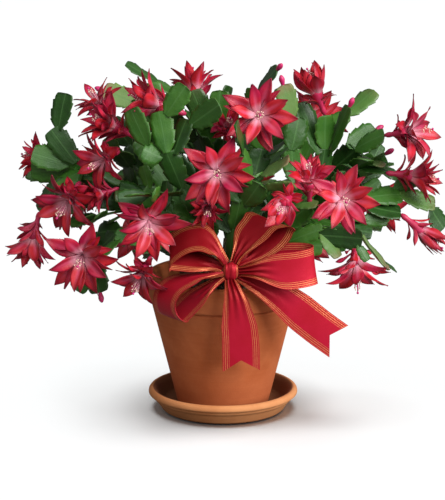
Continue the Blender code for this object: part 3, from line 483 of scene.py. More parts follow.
# %% [markdown]
# ## Where the stems grow
# A holiday cactus has no true leaves. Its stems are chains of flat segments, each about as long as a
# thumb, and a new one grows from the end of the last. A run of segments ends in a bloom, a bud or a
# leaf. The first table has each bloom's throat in mm, the way it faces, its kind and its size.

# %% Table of blooms
BLOOM_ROWS = (
    ((-160, -62, 240), (-0.35, -0.75, -0.45), "star", 1.0),
    ((-145, -78, 185), (-0.10, -0.95, -0.10), "star", 1.05),
    ((-200, -20, 190), (-0.25, -0.10, -0.95), "fan", 0.95),
    ((-124, -52, 281), (-0.60, -0.75, -0.20), "star", 0.85),
    ((-190, 15, 270), (-0.85, -0.10, 0.20), "fan", 0.85),
    ((-127, -42, 243), (-0.80, -0.50, -0.20), "fan", 0.70),
    ((-130, 2, 332), (-0.50, -0.30, 0.80), "star", 0.75),
    ((-115, -37, 315), (-0.75, -0.35, 0.45), "fan", 1.0),
    ((-70, -35, 337), (-0.90, -0.25, 0.35), "fan", 1.1),
    ((36, -60, 329), (0.05, -0.98, 0.20), "star", 1.05),
    ((-6, -107, 279), (0.0, -0.97, 0.10), "star", 1.05),
    ((5, -25, 310), (0.10, -0.60, 0.50), "fan", 0.80),
    ((95, -15, 350), (-0.35, -0.20, 0.90), "half", 1.0),
    ((195, -20, 305), (0.80, -0.45, 0.20), "star", 0.95),
    ((200, -15, 257), (0.90, -0.25, -0.05), "fan", 0.95),
    ((211, -26, 198), (0.75, -0.12, -0.60), "closed", 1.0),
    ((88, -64, 262), (-0.05, -0.35, 0.90), "fan", 0.90),
    ((62, -102, 245), (-0.30, -0.90, -0.20), "half", 0.95),
    ((121, -94, 249), (0.10, -0.98, 0.10), "star", 1.0),
    ((138, -62, 172), (0.05, -0.30, -0.95), "star", 1.05),
    ((-75, -94, 225), (0.05, -0.95, -0.20), "star", 1.05),
    ((-84, -84, 166), (-0.35, -0.70, -0.62), "star", 0.85),
    ((-16, -62, 235), (0.0, -0.80, -0.30), "fan", 0.70),
    ((-160, 110, 210), (-0.70, 0.60, -0.30), "star", 1.0),
    ((-80, 158, 270), (-0.30, 0.90, 0.10), "star", 1.0),
    ((20, 168, 220), (0.10, 0.95, -0.20), "star", 1.05),
    ((100, 140, 290), (0.30, 0.85, 0.30), "star", 1.0),
    ((168, 100, 200), (0.75, 0.60, -0.30), "fan", 1.0),
    ((-30, 100, 328), (-0.10, 0.50, 0.85), "fan", 1.0),
    ((-100, 140, 160), (-0.30, 0.80, -0.60), "fan", 0.95),
    ((90, 150, 150), (0.30, 0.80, -0.55), "fan", 1.0),
)
BLOOMS = {f"bloom_{number:02}": row for number, row in enumerate(BLOOM_ROWS, 1)}
THROAT_MM = 32
print("blooms:", len(BLOOMS))

# %% [markdown]
# Each stem has the distance and the bearing of its foot in the soil, and then its runs: what the run
# ends in, and the places that it passes through.

# %% Table of stems
STEM_ROWS = (
    (40, 191, (
        ("bloom_03", (-75, -10, 215), (-130, -25, 235), (-165, -25, 250), (-188, -20, 243)),
        ("bloom_06", (-75, -10, 215), (-82, -22, 236)), ("bloom_01", (-165, -25, 250)),
        ("leaf", (-165, -25, 250), (-190, -15, 260), (-216, -12, 264)),
        ("bud", (-188, -20, 243), (-226, -20, 230)))),
    (40, 214, (
        ("bud", (-60, -44, 184), (-86, -56, 202), (-110, -52, 203), (-128, -38, 190), (-138, -38, 166),
         (-128, -52, 140)),
        ("bloom_22", (-60, -44, 184)), ("bloom_02", (-110, -52, 203), (-124, -34, 204)),
        ("leaf", (-138, -38, 166), (-154, -48, 142)))),
    (40, 165, (
        ("leaf", (-60, 10, 210), (-105, -5, 230), (-135, -10, 250), (-165, -10, 270), (-200, -10, 280)),
        ("leaf", (-165, -10, 270), (-180, -5, 305)), ("bloom_05", (-135, -10, 250), (-150, 10, 260)),
        ("bloom_04", (-105, -5, 230), (-98, -12, 258)), ("bud", (-135, -10, 250), (-142, -10, 298)))),
    (18, 205, (
        ("bloom_08", (-35, -15, 215), (-60, -20, 250), (-78, -18, 278)),
        ("bloom_07", (-78, -18, 278), (-98, 0, 288)), ("leaf", (-60, -20, 250), (-95, -8, 262)),
        ("leaf", (-35, -15, 215), (-62, -34, 228), (-84, -42, 246)))),
    (40, 256, (
        ("leaf", (-16, -46, 195), (-26, -52, 225), (-40, -64, 250), (-50, -73, 275), (-60, -70, 302),
         (-65, -60, 334)),
        ("leaf", (-60, -70, 305), (-36, -62, 326)), ("leaf", (-50, -73, 275), (-82, -70, 296)))),
    (18, 130, (
        ("leaf", (-5, 20, 225), (-10, 15, 265), (-15, 10, 295), (-20, 10, 320), (-32, 10, 344)),
        ("leaf", (-20, 10, 320), (-3, 5, 345)), ("bloom_09", (-12, 14, 280), (-25, -8, 302)),
        ("bloom_12", (-10, 15, 265), (-2, 5, 282)), ("bud", (-20, 10, 320), (-48, 8, 338)))),
    (18, 282, (
        ("bloom_10", (20, -15, 215), (30, -25, 250), (40, -20, 278), (38, -16, 305)),
        ("leaf", (40, -20, 278), (62, -38, 292)), ("leaf", (30, -25, 250), (34, -60, 266)))),
    (40, 278, (
        ("bloom_11", (10, -48, 205), (18, -60, 240), (4, -68, 268)),
        ("bloom_23", (10, -48, 205), (-8, -36, 228)), ("leaf", (18, -60, 240), (38, -74, 262)))),
    (18, 350, (
        ("bloom_13", (40, 0, 200), (75, -5, 225), (100, -5, 245), (106, -5, 270), (106, -5, 298)),
        ("leaf", (40, 0, 200), (70, -28, 240), (75, -32, 268), (70, -30, 296), (78, -25, 322)),
        ("bud", (106, -5, 298), (132, -8, 330)), ("leaf", (106, -5, 298), (80, 4, 332)),
        ("leaf", (106, -5, 298), (118, -16, 332)))),
    (40, 30, (
        ("bloom_14", (50, 35, 195), (90, 35, 225), (120, 25, 260), (140, 10, 280)),
        ("bloom_15", (120, 25, 260), (148, 10, 262)), ("bud", (140, 10, 280), (162, 28, 298)),
        ("bud", (148, 10, 262), (172, 15, 275)))),
    (40, 302, (
        ("bloom_19", (30, -37, 188), (60, -38, 210), (92, -38, 224), (108, -46, 236)),
        ("bloom_18", (60, -38, 210), (60, -48, 234)), ("bloom_17", (60, -38, 210), (76, -46, 220)))),
    (40, 0, (
        ("leaf", (65, -10, 195), (100, -20, 220), (135, -25, 232), (168, -15, 236), (198, 0, 232),
         (224, 5, 222)),
        ("bloom_16", (168, -15, 236)), ("leaf", (224, 5, 222), (233, 3, 196)),
        ("leaf", (168, -15, 236), (172, -42, 212), (178, -44, 188)),
        ("bud", (198, 0, 232), (208, 0, 256)))),
    (40, 329, (
        ("bloom_20", (50, -50, 188), (85, -68, 204), (112, -66, 216), (130, -58, 214)),
        ("leaf", (112, -66, 216), (134, -80, 208), (158, -84, 196), (170, -80, 172)))),
    (40, 235, (
        ("bloom_21", (-36, -44, 195), (-58, -52, 218)),
        ("leaf", (-58, -52, 218), (-46, -86, 224), (-52, -104, 204)))),
    (40, 138, (
        ("bloom_24", (-65, 55, 200), (-105, 80, 222)), ("bloom_30", (-65, 55, 200), (-75, 90, 205)),
        ("leaf", (-105, 80, 222), (-148, 62, 245), (-178, 52, 240)),
        ("leaf", (-65, 55, 200), (-85, 60, 250), (-100, 55, 290)))),
    (40, 112, (
        ("bloom_25", (-25, 50, 215), (-50, 95, 245)), ("bloom_29", (-25, 50, 215), (-28, 65, 262)),
        ("leaf", (-50, 95, 245), (-80, 105, 290), (-92, 95, 322)),
        ("leaf", (-50, 95, 245), (-45, 135, 225), (-48, 150, 195)))),
    (40, 88, (
        ("bloom_26", (10, 60, 205), (16, 105, 222)),
        ("bloom_27", (10, 60, 205), (40, 80, 245), (68, 96, 264)),
        ("leaf", (40, 80, 245), (38, 85, 295), (32, 75, 335)),
        ("leaf", (10, 60, 205), (45, 105, 215), (52, 135, 190)))),
    (40, 60, (
        ("bloom_28", (55, 50, 195), (100, 65, 212)), ("bloom_31", (55, 50, 195), (68, 90, 192)),
        ("leaf", (100, 65, 212), (135, 62, 242), (165, 55, 262)),
        ("leaf", (55, 50, 195), (80, 55, 245), (100, 55, 290)))),
)
STEMS = {f"stem_{number:02}": row for number, row in enumerate(STEM_ROWS, 1)}
print("stems:", len(STEMS))

# %% [markdown]
# A stem's line has to be smooth, and its joints have to lie evenly along it. So a smooth curve is
# drawn through the listed places in short steps, and then read again at even distances.

# %% Smooth, evenly spaced lines
def smooth_line(points, per_span=12):
    """Points along a smooth curve through the given ones. Each span's formula looks at four of them."""
    ends = [points[0] * 2 - points[1]] + list(points) + [points[-1] * 2 - points[-2]]
    line = []
    for i in range(1, len(ends) - 2):
        a, b, c, d = ends[i - 1:i + 3]
        for step in range(per_span):
            t = step / per_span
            line.append(0.5 * (2 * b + (c - a) * t + (2 * a - 5 * b + 4 * c - d) * t * t
                               + (3 * b - a - 3 * c + d) * t ** 3))
    line.append(points[-1].copy())
    return line


def spaced(points, count, per_span=12):
    """The curve through the points, read at count + 1 evenly spaced places."""
    line = smooth_line(points, per_span) if len(points) > 2 else [points[0], points[-1]]
    reach = [0.0]
    for a, b in zip(line, line[1:]):
        reach.append(reach[-1] + (b - a).length)
    places = []
    k = 0
    for i in range(count + 1):
        goal = reach[-1] * i / count
        while k < len(line) - 2 and reach[k + 1] < goal:
            k += 1
        span = max(reach[k + 1] - reach[k], 1e-9)
        places.append(line[k].lerp(line[k + 1], min(1.0, (goal - reach[k]) / span)))
    return places


corner = [at((0, 0, 0)), at((10, 10, 0)), at((20, 0, 0))]
print("a curve round a corner, from side to side:", [round(place.x * 1000) for place in spaced(corner, 4)])

# %% [markdown]
# The run that bears a bloom ends at the bloom's base, and comes to it from behind. A bloom's throat
# is what one sees, so the table gives that, and its base lies a tube's length behind.

# %% Joints of a run
SEGMENT = 0.039             # spacing of the joints along a stem
LAST_BEND = 0.45            # a bend is put before a bloom only if it is this many segments away
BLOOM_GAP = 0.0003          # open air between a leaf's tip and the bloom on it


def sideways(direction, facing):
    """Two unit vectors square to the direction: the face normal nearest to facing, and across."""
    normal = facing - direction * facing.dot(direction)
    if normal.length < 1e-4:
        normal = direction.orthogonal()
    normal.normalize()
    return normal, direction.cross(normal)


def bloom_matrix(name):
    """Places a bloom by its throat and the way it faces."""
    throat, face, _, size = BLOOMS[name]
    axis = Vector(face).normalized()
    base = at(throat) - axis * (THROAT_MM * MM * size)
    return Matrix.Translation(base) @ turned_to(axis) @ Matrix.Scale(size, 4)


def run_points(places, end):
    """Joint places of one run, evenly spaced."""
    places = list(places)
    if end in BLOOMS:
        matrix = bloom_matrix(end)
        axis = (matrix.to_3x3() @ Vector((0, 0, 1))).normalized()
        goal = matrix.translation - axis * BLOOM_GAP
        back = goal - axis * SEGMENT * 0.5
        if (back - places[-1]).length > SEGMENT * LAST_BEND:
            places.append(back)
        places.append(goal)
    line = smooth_line(places)
    length = sum((b - a).length for a, b in zip(line, line[1:]))
    return spaced(places, max(1, round(length / SEGMENT)))


print("a bloom's base is", round(THROAT_MM), "mm behind its throat")

# %% [markdown]
# Where two leaves would have met, the plain model turned one of them or made it narrower. So each
# leaf is tried in the same few turns and widths, and the one whose edges lie on the plain solid is
# kept. This way every fine leaf stands exactly where its plain one does.

# %% Finding each leaf on its plain solid
ON_SURFACE = 0.00012        # a spot this near to a plain solid lies on its surface
NECK_STEP = 0.0012          # a side shoot's neck may stand this far out of the joint
BUD_LENGTH = 0.0125
BUD_R = 0.0032
BUD_WIDEST = 0.55           # where along a bud the plain solid is looked for
BUD_SINK = 0.002            # how far a bud is set into its leaf's tip
TURNS = (0, 15, -15, 30, -30, 45, -45, 60, -60, 75, -75, 90)
WIDTHS = (1.0, 0.8, 0.6, 0.42)
EDGE_SPOTS = ((0.34, 0.49), (0.75, 0.50))    # share of the length, share of the width


def on_solid(link, tree):
    """Whether the leaf's widest places lie on the solid's surface."""
    base, tip, facing, width, _ = link
    along = (tip - base).normalized()
    across = sideways(along, facing)[1]
    for start in (base, base + along * NECK_STEP):
        reach = (tip - start).length
        found = 0
        for u, v in EDGE_SPOTS:
            for side in (v, -v):
                spot = start + along * (u * reach) + across * (side * width)
                found += tree.find_nearest(spot)[3] < ON_SURFACE
        if found >= 3:
            return True
    return False


def find_leaf(wish, tree):
    base, tip, facing, width, root = wish
    along = (tip - base).normalized()
    for share in WIDTHS:
        for turn in TURNS:
            trial = (base, tip, Quaternion(along, math.radians(turn)) @ facing, width * share, root)
            if on_solid(trial, tree):
                return trial
    return None


def has_bud(link, tree):
    """Whether the plain solid has a bud on this leaf's tip."""
    along = (link[1] - link[0]).normalized()
    across = along.orthogonal().normalized()
    spot = link[1] + along * (BUD_LENGTH * BUD_WIDEST - BUD_SINK) - across * BUD_R
    return tree.find_nearest(spot)[3] < ON_SURFACE


print("each leaf may be tried", len(TURNS) * len(WIDTHS), "ways")

# %% [markdown]
# A leaf turns its face away from the plant's heart and to the light. A side shoot starts on a
# leaf's shoulder, which is the slanted corner of its end.

# %% Faces and shoulders
LEAF_W = 0.0255             # full breadth of a leaf segment
SINK = 0.0045               # how far a root is set into the segment that bears it
HEART = Vector((0.0, 0.03, 0.15))        # the point that the leaves turn their faces away from
TO_LIGHT = Vector((0.0, -0.65, 0.35))    # the way all leaves turn a little
SHOULDER = (0.12, 0.31)     # a shoulder's place: share of the length from the tip, share of the width
ROOT = (0.27, 0.12)         # and the place of a shoot's root inside the leaf


def facing_at(place, lean):
    """The way a leaf's face looks: away from the plant's heart and to the light, with some scatter."""
    return (place - HEART).normalized() + TO_LIGHT + lean


def shoulder(link, side):
    """Where a side shoot leaves a leaf: a place on its slanted end edge, and its root inside."""
    base, tip, facing, width, _ = link
    along = (tip - base).normalized()
    across = sideways(along, facing)[1] * side
    reach = (tip - base).length
    edge, root = (tip - along * (reach * back) + across * (width * out) for back, out in (SHOULDER, ROOT))
    return edge, root


print("a full leaf is", round(SEGMENT * 1000), "mm long and", round(LEAF_W * 1000, 1), "mm broad")

# %% [markdown]
# Growing a stem walks through its runs in order. Seeded dice give each leaf its size and lean, so
# the stem grows the same way every time. A later run starts on the shoulder of the nearest leaf, or
# on its tip where the shoulder is taken or the run would have to turn back.

# %% Growing a stem
FIRST_SIZES = {1: 0.48, 2: 0.75}         # the first leaves of a stem are smaller
FIRST_RISE = 0.024          # the woody foot leaves the soil nearly upright for this far
FIRST_SPREAD = 0.08         # and leans outwards by this share of its distance from the middle
RUN_LEAN = 0.35             # how far a whole run's leaves may lean, and then each leaf more
LEAF_LEAN = 0.25
TURN_LEAST = 0.25           # a run may start on a shoulder if its direction agrees by this much
MISSED = []                 # the places where the plain model has no leaf either


def grow_runs(stem, tree):
    """A stem's leaves as (link, label, is_end), its buds, its used shoulders and its woody foot."""
    ring, bearing, runs = STEMS[stem]
    turn = math.radians(bearing)
    foot = Vector((ring * MM * math.cos(turn), ring * MM * math.sin(turn), SOIL_TOP))
    leaves = []
    buds = []
    used = set()
    wood = None
    for index, (end, *points) in enumerate(runs):
        draw = random.Random(f"{stem} run {index}")
        lean = scatter(draw, RUN_LEAN)
        places = [at(p) for p in points]
        root = None
        label = f"{stem} foot"
        if index == 0:
            rise = Vector((foot.x * FIRST_SPREAD, foot.y * FIRST_SPREAD, FIRST_RISE))
            places = [foot, foot + rise] + places
        else:
            bearer, label = min(leaves, key=lambda leaf: (leaf[0][1] - places[0]).length)[:2]
            ahead = places[1] if len(places) > 1 else bloom_matrix(end).translation
            across = sideways((bearer[1] - bearer[0]).normalized(), bearer[2])[1]
            side = 1 if (ahead - bearer[1]).dot(across) > 0 else -1
            places[0], root = shoulder(bearer, side)
            out = (ahead - places[0]).normalized()
            if (label, side) in used or out.dot((places[0] - root).normalized()) < TURN_LEAST:
                places[0] = bearer[1]
                root = bearer[1] - out * SINK
            used.add((label, side))
        places = run_points(places, end)
        last = None
        for k, (base, tip) in enumerate(zip(places, places[1:])):
            size = draw.uniform(0.92, 1.06)
            wobble = scatter(draw, LEAF_LEAN)
            along = (tip - base).normalized()
            if index == 0 and k == 0:
                wood = (foot, tip)
                root = tip - along * SINK
                continue
            young = FIRST_SIZES.get(k, 1.0) if index == 0 else 1.0
            wish = (base, tip, facing_at((base + tip) / 2, lean + wobble), LEAF_W * size * young, root)
            link = find_leaf(wish, tree)
            name = f"{stem} run {index} leaf {k}"
            if link is None:
                MISSED.append(name)
                break
            label = name
            last = k == len(places) - 2
            leaves.append((link, label, last and end == "leaf"))
            root = tip - along * SINK
            if last and end in BLOOMS:
                used.update(((label, 1), (label, -1)))
        if end == "bud" and last is not None:
            used.update(((label, 1), (label, -1)))
            if has_bud(leaves[-1][0], tree):
                buds.append(leaves[-1][0])
    return leaves, buds, used, wood


print("stems to grow:", len(STEMS))

# %% [markdown]
# Some shoulders that no run uses bear a side shoot of one or two leaves. The dice that choose them
# are seeded too, and a shoot is kept only where the plain stem has it.

# %% Growing side shoots
TWIG_SHARE = 0.46           # how many of the places for a side shoot bear one
TWIG_LOW = 0.188            # no side shoots below this height
TWIG_ANGLES = (34, 62)      # degrees away from the leaf that bears it
TWIG_LENGTHS = (0.034, 0.044)
TWIG_SIZES = (0.88, 1.06)
TWIG_LEAN = 0.6
TWO_LEAVES = 0.35           # how many side shoots have two leaves
TWIG_BUDS = 0.22            # and how many end in a bud
DROOP = Vector((0, 0, -0.10))            # each leaf of a shoot hangs a little more
OUTWARDS = 0.25             # and turns away from the plant's heart


def grow_twigs(stem, leaves, used, tree):
    """The leaves of a stem's side shoots, as in grow_runs, and their buds."""
    twigs = []
    buds = []
    for index, (bearer, bearer_label, _) in enumerate(leaves):
        along = (bearer[1] - bearer[0]).normalized()
        for side in (-1, 1):
            draw = random.Random(f"{stem} twig {index} {side}")
            wanted = draw.random() < TWIG_SHARE
            angle = math.radians(draw.uniform(*TWIG_ANGLES)) * side
            length = draw.uniform(*TWIG_LENGTHS)
            size = draw.uniform(*TWIG_SIZES)
            count = 2 if draw.random() < TWO_LEAVES else 1
            bud = draw.random() < TWIG_BUDS
            facing = facing_at(bearer[1], scatter(draw, TWIG_LEAN))
            if not wanted or (bearer_label, side) in used or bearer[1].z < TWIG_LOW:
                continue
            heading = Quaternion(sideways(along, bearer[2])[0], -angle) @ along
            base, root = shoulder(bearer, side)
            grown = []
            for _ in range(count):
                heading += DROOP + (base - HEART).normalized() * OUTWARDS
                heading.normalize()
                wish = (base, base + heading * length, facing, LEAF_W * size, root)
                link = find_leaf(wish, tree)
                if link is None:
                    break
                grown.append(link)
                base = link[1]
                root = base - heading * SINK
            twigs += [(link, f"{stem} twig", link is grown[-1]) for link in grown]
            if bud and grown and has_bud(grown[-1], tree):
                buds.append(grown[-1])
    return twigs, buds

# %% [markdown]
# Now every stem is grown, side shoots and all, and what has grown is counted.

# %% All stems
stems = {}
for stem in STEMS:
    tree = tree_of(stem)
    leaves, buds, used, wood = grow_runs(stem, tree)
    twigs, twig_buds = grow_twigs(stem, leaves, used, tree)
    stems[stem] = (leaves + twigs, buds + twig_buds, wood)
print("leaves:", sum(len(s[0]) for s in stems.values()), "buds:", sum(len(s[1]) for s in stems.values()))
print("runs cut short:", MISSED)

# %% [markdown]
# A real crown has many small new leaves between the big ones. Only the fine model has them. Each one
# starts on the shoulder or the tip of a big leaf, and it's kept only where nine spots on it are in
# open air: clear of every plain solid, and clear of the small leaves before it.

# %% Room for small new leaves
SMALL_SHARE = 0.40          # how many of the places are tried
SMALL_LENGTHS = (0.030, 0.024, 0.019)
SMALL_TOP = 0.275           # no small leaves above this height: the top is all blooms and big leaves
SMALL_REACH = 0.185         # and none further out to the sides
SMALL_ANGLES = (38, 55, 22, 72)          # degrees away from the bearing leaf, tried in this order
SMALL_BREADTHS = (0.50, 0.62)            # shares of the small leaf's length
SMALL_LEAN = 0.5
SMALL_CLEAR = 0.0016        # open air between a small leaf and any plain solid
SMALL_APART = 0.0055        # and between the spots of two small leaves
all_trees = [tree_of(name) for name in nodes]
taken = []


def in_open_air(link):
    """Whether nine spots on the leaf are clear. If so, they are taken from now on."""
    base, tip, facing, width, _ = link
    across = sideways((tip - base).normalized(), facing)[1]
    spots = [base.lerp(tip, t) + across * (v * width) for t in (0.4, 0.7, 1.0) for v in (-0.45, 0.0, 0.45)]
    for spot in spots:
        if spot.z > SMALL_TOP or abs(spot.x) > SMALL_REACH:
            return False
        if any(tree.find_nearest(spot, SMALL_CLEAR)[0] is not None for tree in all_trees):
            return False
        if any((spot - other).length < SMALL_APART for other in taken):
            return False
    taken.extend(spots)
    return True


print("plain solids to keep clear of:", len(all_trees))

# %% [markdown]
# For each place a few lengths and angles are tried, the longest first, and the first one that fits
# is kept.

# %% Small new leaves
def small_leaf(bearer, side, draw):
    """A small leaf on one shoulder of a big one (side -1 or 1) or on its tip (side 0), or None."""
    along = (bearer[1] - bearer[0]).normalized()
    normal = sideways(along, bearer[2])[0]
    if side:
        base, root = shoulder(bearer, side)
    else:
        base, root = bearer[1], bearer[1] - along * SINK
    facing = bearer[2].normalized() + scatter(draw, SMALL_LEAN)
    for length in SMALL_LENGTHS:
        for degrees in SMALL_ANGLES:
            turn = math.radians(degrees) * side if side else math.radians(draw.uniform(-18, 18))
            heading = Quaternion(normal, -turn) @ along
            link = (base, base + heading * length, facing, length * draw.uniform(*SMALL_BREADTHS), root)
            if in_open_air(link):
                return link
    return None


OFF_SOIL = 0.02             # a leaf this near to the soil bears no small one


def grow_small_leaves(stem, leaves):
    grown = []
    for index, (bearer, _, is_end) in enumerate(leaves):
        draw = random.Random(f"{stem} small leaf {index}")
        for side in (-1, 1, 0) if is_end else (-1, 1):
            if draw.random() < SMALL_SHARE and bearer[1].z > SOIL_TOP + OFF_SOIL:
                link = small_leaf(bearer, side, draw)
                if link:
                    grown.append((link, f"{stem} small leaf {index} {side}", True))
    return grown


big = sum(len(s[0]) for s in stems.values())
for stem, (leaves, buds, wood) in stems.items():
    stems[stem] = (leaves + grow_small_leaves(stem, leaves), buds, wood)
print("small leaves:", sum(len(s[0]) for s in stems.values()) - big)

# %% [markdown]
# ## Leaves
# A segment is flat and fleshy. Its edge swells and dips in soft scallops, its end is cut off almost
# square with two small shoulders, and a low rib runs down the middle. One unit pattern is made from
# a grid with a thickness, and every leaf is a copy of it, pulled into shape by a few curves.

# %% The unit pattern
def unit_pattern(columns, rows):
    """A closed sheet from -1 to 1 in x and y: z is 1 on its upper face and 0 on its lower one."""
    bm = bmesh.new()
    bmesh.ops.create_grid(bm, x_segments=columns, y_segments=rows, size=1.0)
    bmesh.ops.solidify(bm, geom=bm.faces[:], thickness=1.0)
    lowest = min(vert.co.z for vert in bm.verts)
    for vert in bm.verts:
        vert.co.z = round(vert.co.z - lowest)
    bmesh.ops.recalc_face_normals(bm, faces=bm.faces[:])
    uv = bm.loops.layers.uv.new("UVMap")
    for face in bm.faces:
        for loop in face.loops:
            loop[uv].uv = ((loop.vert.co.x + 1) / 2, (loop.vert.co.y + 1) / 2)
    for name in ("tint", "young"):
        bm.verts.layers.float.new(name)
    return mesh_of(bm, "unit pattern")


def emptied(pattern):
    """A mesh with the pattern's map and its two layers but no points yet, and the layers."""
    bm = bmesh.new()
    bm.from_mesh(pattern)
    layers = [bm.verts.layers.float[name] for name in ("tint", "young")]
    bmesh.ops.delete(bm, geom=bm.verts[:], context="VERTS")
    return bm, layers


def copy_pattern(bm, pattern):
    """Adds a copy of the pattern and returns its points with their unit places."""
    first = len(bm.verts)
    bm.from_mesh(pattern)
    bm.verts.ensure_lookup_table()
    return [(vert, vert.co.copy()) for vert in bm.verts[first:]]


print("a pattern of two by two squares has", len(unit_pattern(2, 2).polygons), "faces")

# %% [markdown]
# The outline is a list of rows along the leaf, with the half breadth at each. The rows lie close
# together where a tooth ends, so that each tooth leans forward and is cut off sharply.

# %% Outline of a leaf
# Base to tip: share of the length, and half breadth as a share of the width
LEAF_ROWS = ((0.0, 0.15), (0.03, 0.16), (0.08, 0.22), (0.14, 0.31), (0.20, 0.385), (0.255, 0.455),
             (0.285, 0.405), (0.34, 0.445), (0.40, 0.475), (0.46, 0.495), (0.515, 0.525), (0.545, 0.455),
             (0.60, 0.475), (0.66, 0.495), (0.72, 0.51), (0.765, 0.53), (0.795, 0.435), (0.84, 0.44),
             (0.89, 0.42), (0.935, 0.385), (0.97, 0.34), (0.985, 0.20), (0.99, 0.05))
LEAF_T = 0.0026             # thickness along the rib at both ends; halfway it is a fifth thinner
EDGE_FLESH = 0.0004         # half the thickness at the edge
RIB_LIFT = 0.00025
RIB_BREADTH = 0.18          # as a share of the half breadth
NECK = 0.05                 # the neck reaches back by this share of the length
PALE_TIPS = 0.16            # how many end leaves are young and pale
LEAF_PATTERN = unit_pattern(6, len(LEAF_ROWS) - 1)
print("leaf pattern:", len(LEAF_PATTERN.polygons), "faces")

# %% [markdown]
# The cross-section is thick at the rib and thin at the edge, and a little cup, bend, skew and ripple
# keep the leaves from looking stamped out. Two values are written on every point for the finish: the
# leaf's tint and how young it is.

# %% Shaping a leaf
def shape_leaf(bm, link, seed, is_end, layers):
    base, tip, facing, width, _ = link
    draw = random.Random(seed)
    along = (tip - base).normalized()
    normal, across = sideways(along, facing)
    reach = (tip - base).length
    cup = draw.uniform(-0.05, 0.09)
    bend = draw.uniform(-0.035, 0.045)
    ripple = draw.uniform(0.2, 0.8) * MM
    phase = draw.uniform(0, math.tau)
    tint = draw.random()
    young = draw.uniform(0.55, 1.0) if is_end and draw.random() < PALE_TIPS else draw.uniform(0.0, 0.25)
    skew = draw.uniform(-0.02, 0.02)
    for vert, unit in copy_pattern(bm, LEAF_PATTERN):
        u, edge = LEAF_ROWS[round((unit.y + 1) / 2 * (len(LEAF_ROWS) - 1))]
        v = unit.x
        breadth = edge * width * v
        u += skew * v * math.sin(math.pi * u)
        flesh = EDGE_FLESH + (LEAF_T / 2 - EDGE_FLESH) * (1 - abs(v) ** 1.6)
        flesh *= 0.80 + 0.20 * abs(2 * u - 1)
        rib = RIB_LIFT * max(0.0, 1 - abs(v) / RIB_BREADTH)
        lift = cup * width * v * v + bend * reach * math.sin(math.pi * u)
        lift += ripple * v * v * math.sin(3 * math.pi * u + phase + v)
        side = 1 if unit.z > 0.5 else -1
        far = -NECK + (1 + NECK) * u
        vert.co = base + along * (far * reach) + across * breadth + normal * (lift + side * (flesh + rib))
        vert[layers[0]] = tint
        vert[layers[1]] = young

# %% [markdown]
# Leaf green runs from near black in the old leaves to fresh green in the young ones, and the very
# youngest are pale with a pink blush. The skin is waxy, so it has a soft wide shine. The rib is a
# paler line, and fine streaks run along the leaf; both follow the leaf's own map.

# %% Leaf skin
def leaf_material():
    material, tree, shader = new_material("leaf skin", Coat_Roughness=0.30, Coat_Weight=0.10,
                                          Specular_IOR_Level=0.38)
    where, v, u = own_map(tree)
    off_rib = sums(tree, "ABSOLUTE", sums(tree, "SUBTRACT", v, 0.5))
    old = clouded(tree, colour(0.010, 0.040, 0.005), colour(0.018, 0.078, 0.008), 60.0, 0.3)
    fresh = clouded(tree, colour(0.028, 0.130, 0.010), colour(0.070, 0.200, 0.020), 45.0, 0.3)
    tone = mixed(tree, ramped(tree, painted(tree, "tint"), 0.35, 1.0, 0.0, 0.85), old, fresh)
    blush = mixed(tree, ramped(tree, u, 0.55, 1.0), colour(0.17, 0.27, 0.08), colour(0.30, 0.16, 0.10))
    tone = mixed(tree, ramped(tree, painted(tree, "young"), 0.5, 1.0, 0.0, 0.8), tone, blush)
    rib = ramped(tree, off_rib, 0.012, 0.05, 0.40, 0.0)
    tone = mixed(tree, rib, tone, colour(0.085, 0.21, 0.055))
    edge = ramped(tree, off_rib, 0.45, 0.5, 0.0, 0.40)
    tone = mixed(tree, edge, tone, colour(0.09, 0.16, 0.035))
    streak = streaked(tree, where, (22.0, 2.0, 1.0), 3.0)
    tone = mixed(tree, ramped(tree, streak, 0.5, 0.8, 0.0, 0.25), tone, colour(0.055, 0.15, 0.04))
    dress(tree, shader, Base_Color=tone, Roughness=ramped(tree, streak, 0.3, 0.7, 0.36, 0.50),
          Normal=relief(tree, 260.0, 0.35, 0.0009, sums(tree, "MULTIPLY", streak, 0.8)))
    return material


leaf_skin = leaf_material()
print("nodes in the leaf skin:", len(leaf_skin.node_tree.nodes))

# %% [markdown]
# The leaves of a stem are one piece, which stands for the plain stem. Each leaf's name and number
# are its seed, so it gets the same shape every time.

# %% Leaves on their stems
for stem, (leaves, _, _) in stems.items():
    bm, layers = emptied(LEAF_PATTERN)
    for number, (link, label, is_end) in enumerate(leaves):
        shape_leaf(bm, link, f"{label} {number}", is_end, layers)
    finish_piece(f"{stem}_leaves", bm, leaf_skin, [stem])
print("leaves are on", len(stems), "stems")

# %% [markdown]
# The oldest part of each stem is woody: a grey-brown rod that comes out of the soil. It is a cone
# with rings cut round it, made uneven with noise, and its bark is rough. Blender's ready-made noise
# for vectors changes with the clock, so the plain noise is read at three places instead.

# %% Woody feet
WOOD_R = (0.0044, 0.0032)   # at the foot and at the top
WOOD_OVER = 0.06            # the wood reaches down into the soil by this share of its length
WOOD_RINGS = 9
KNOTS = 170                 # the fineness of the noise on it
KNOT_LIFT = 0.0007
APART = (0, 40, 80)         # where the noise is read for each direction, so that the three differ


def uneven(place):
    """A small push that depends on the place alone."""
    return Vector([noise.noise(place * KNOTS + Vector((far, 0, 0))) for far in APART]) * KNOT_LIFT


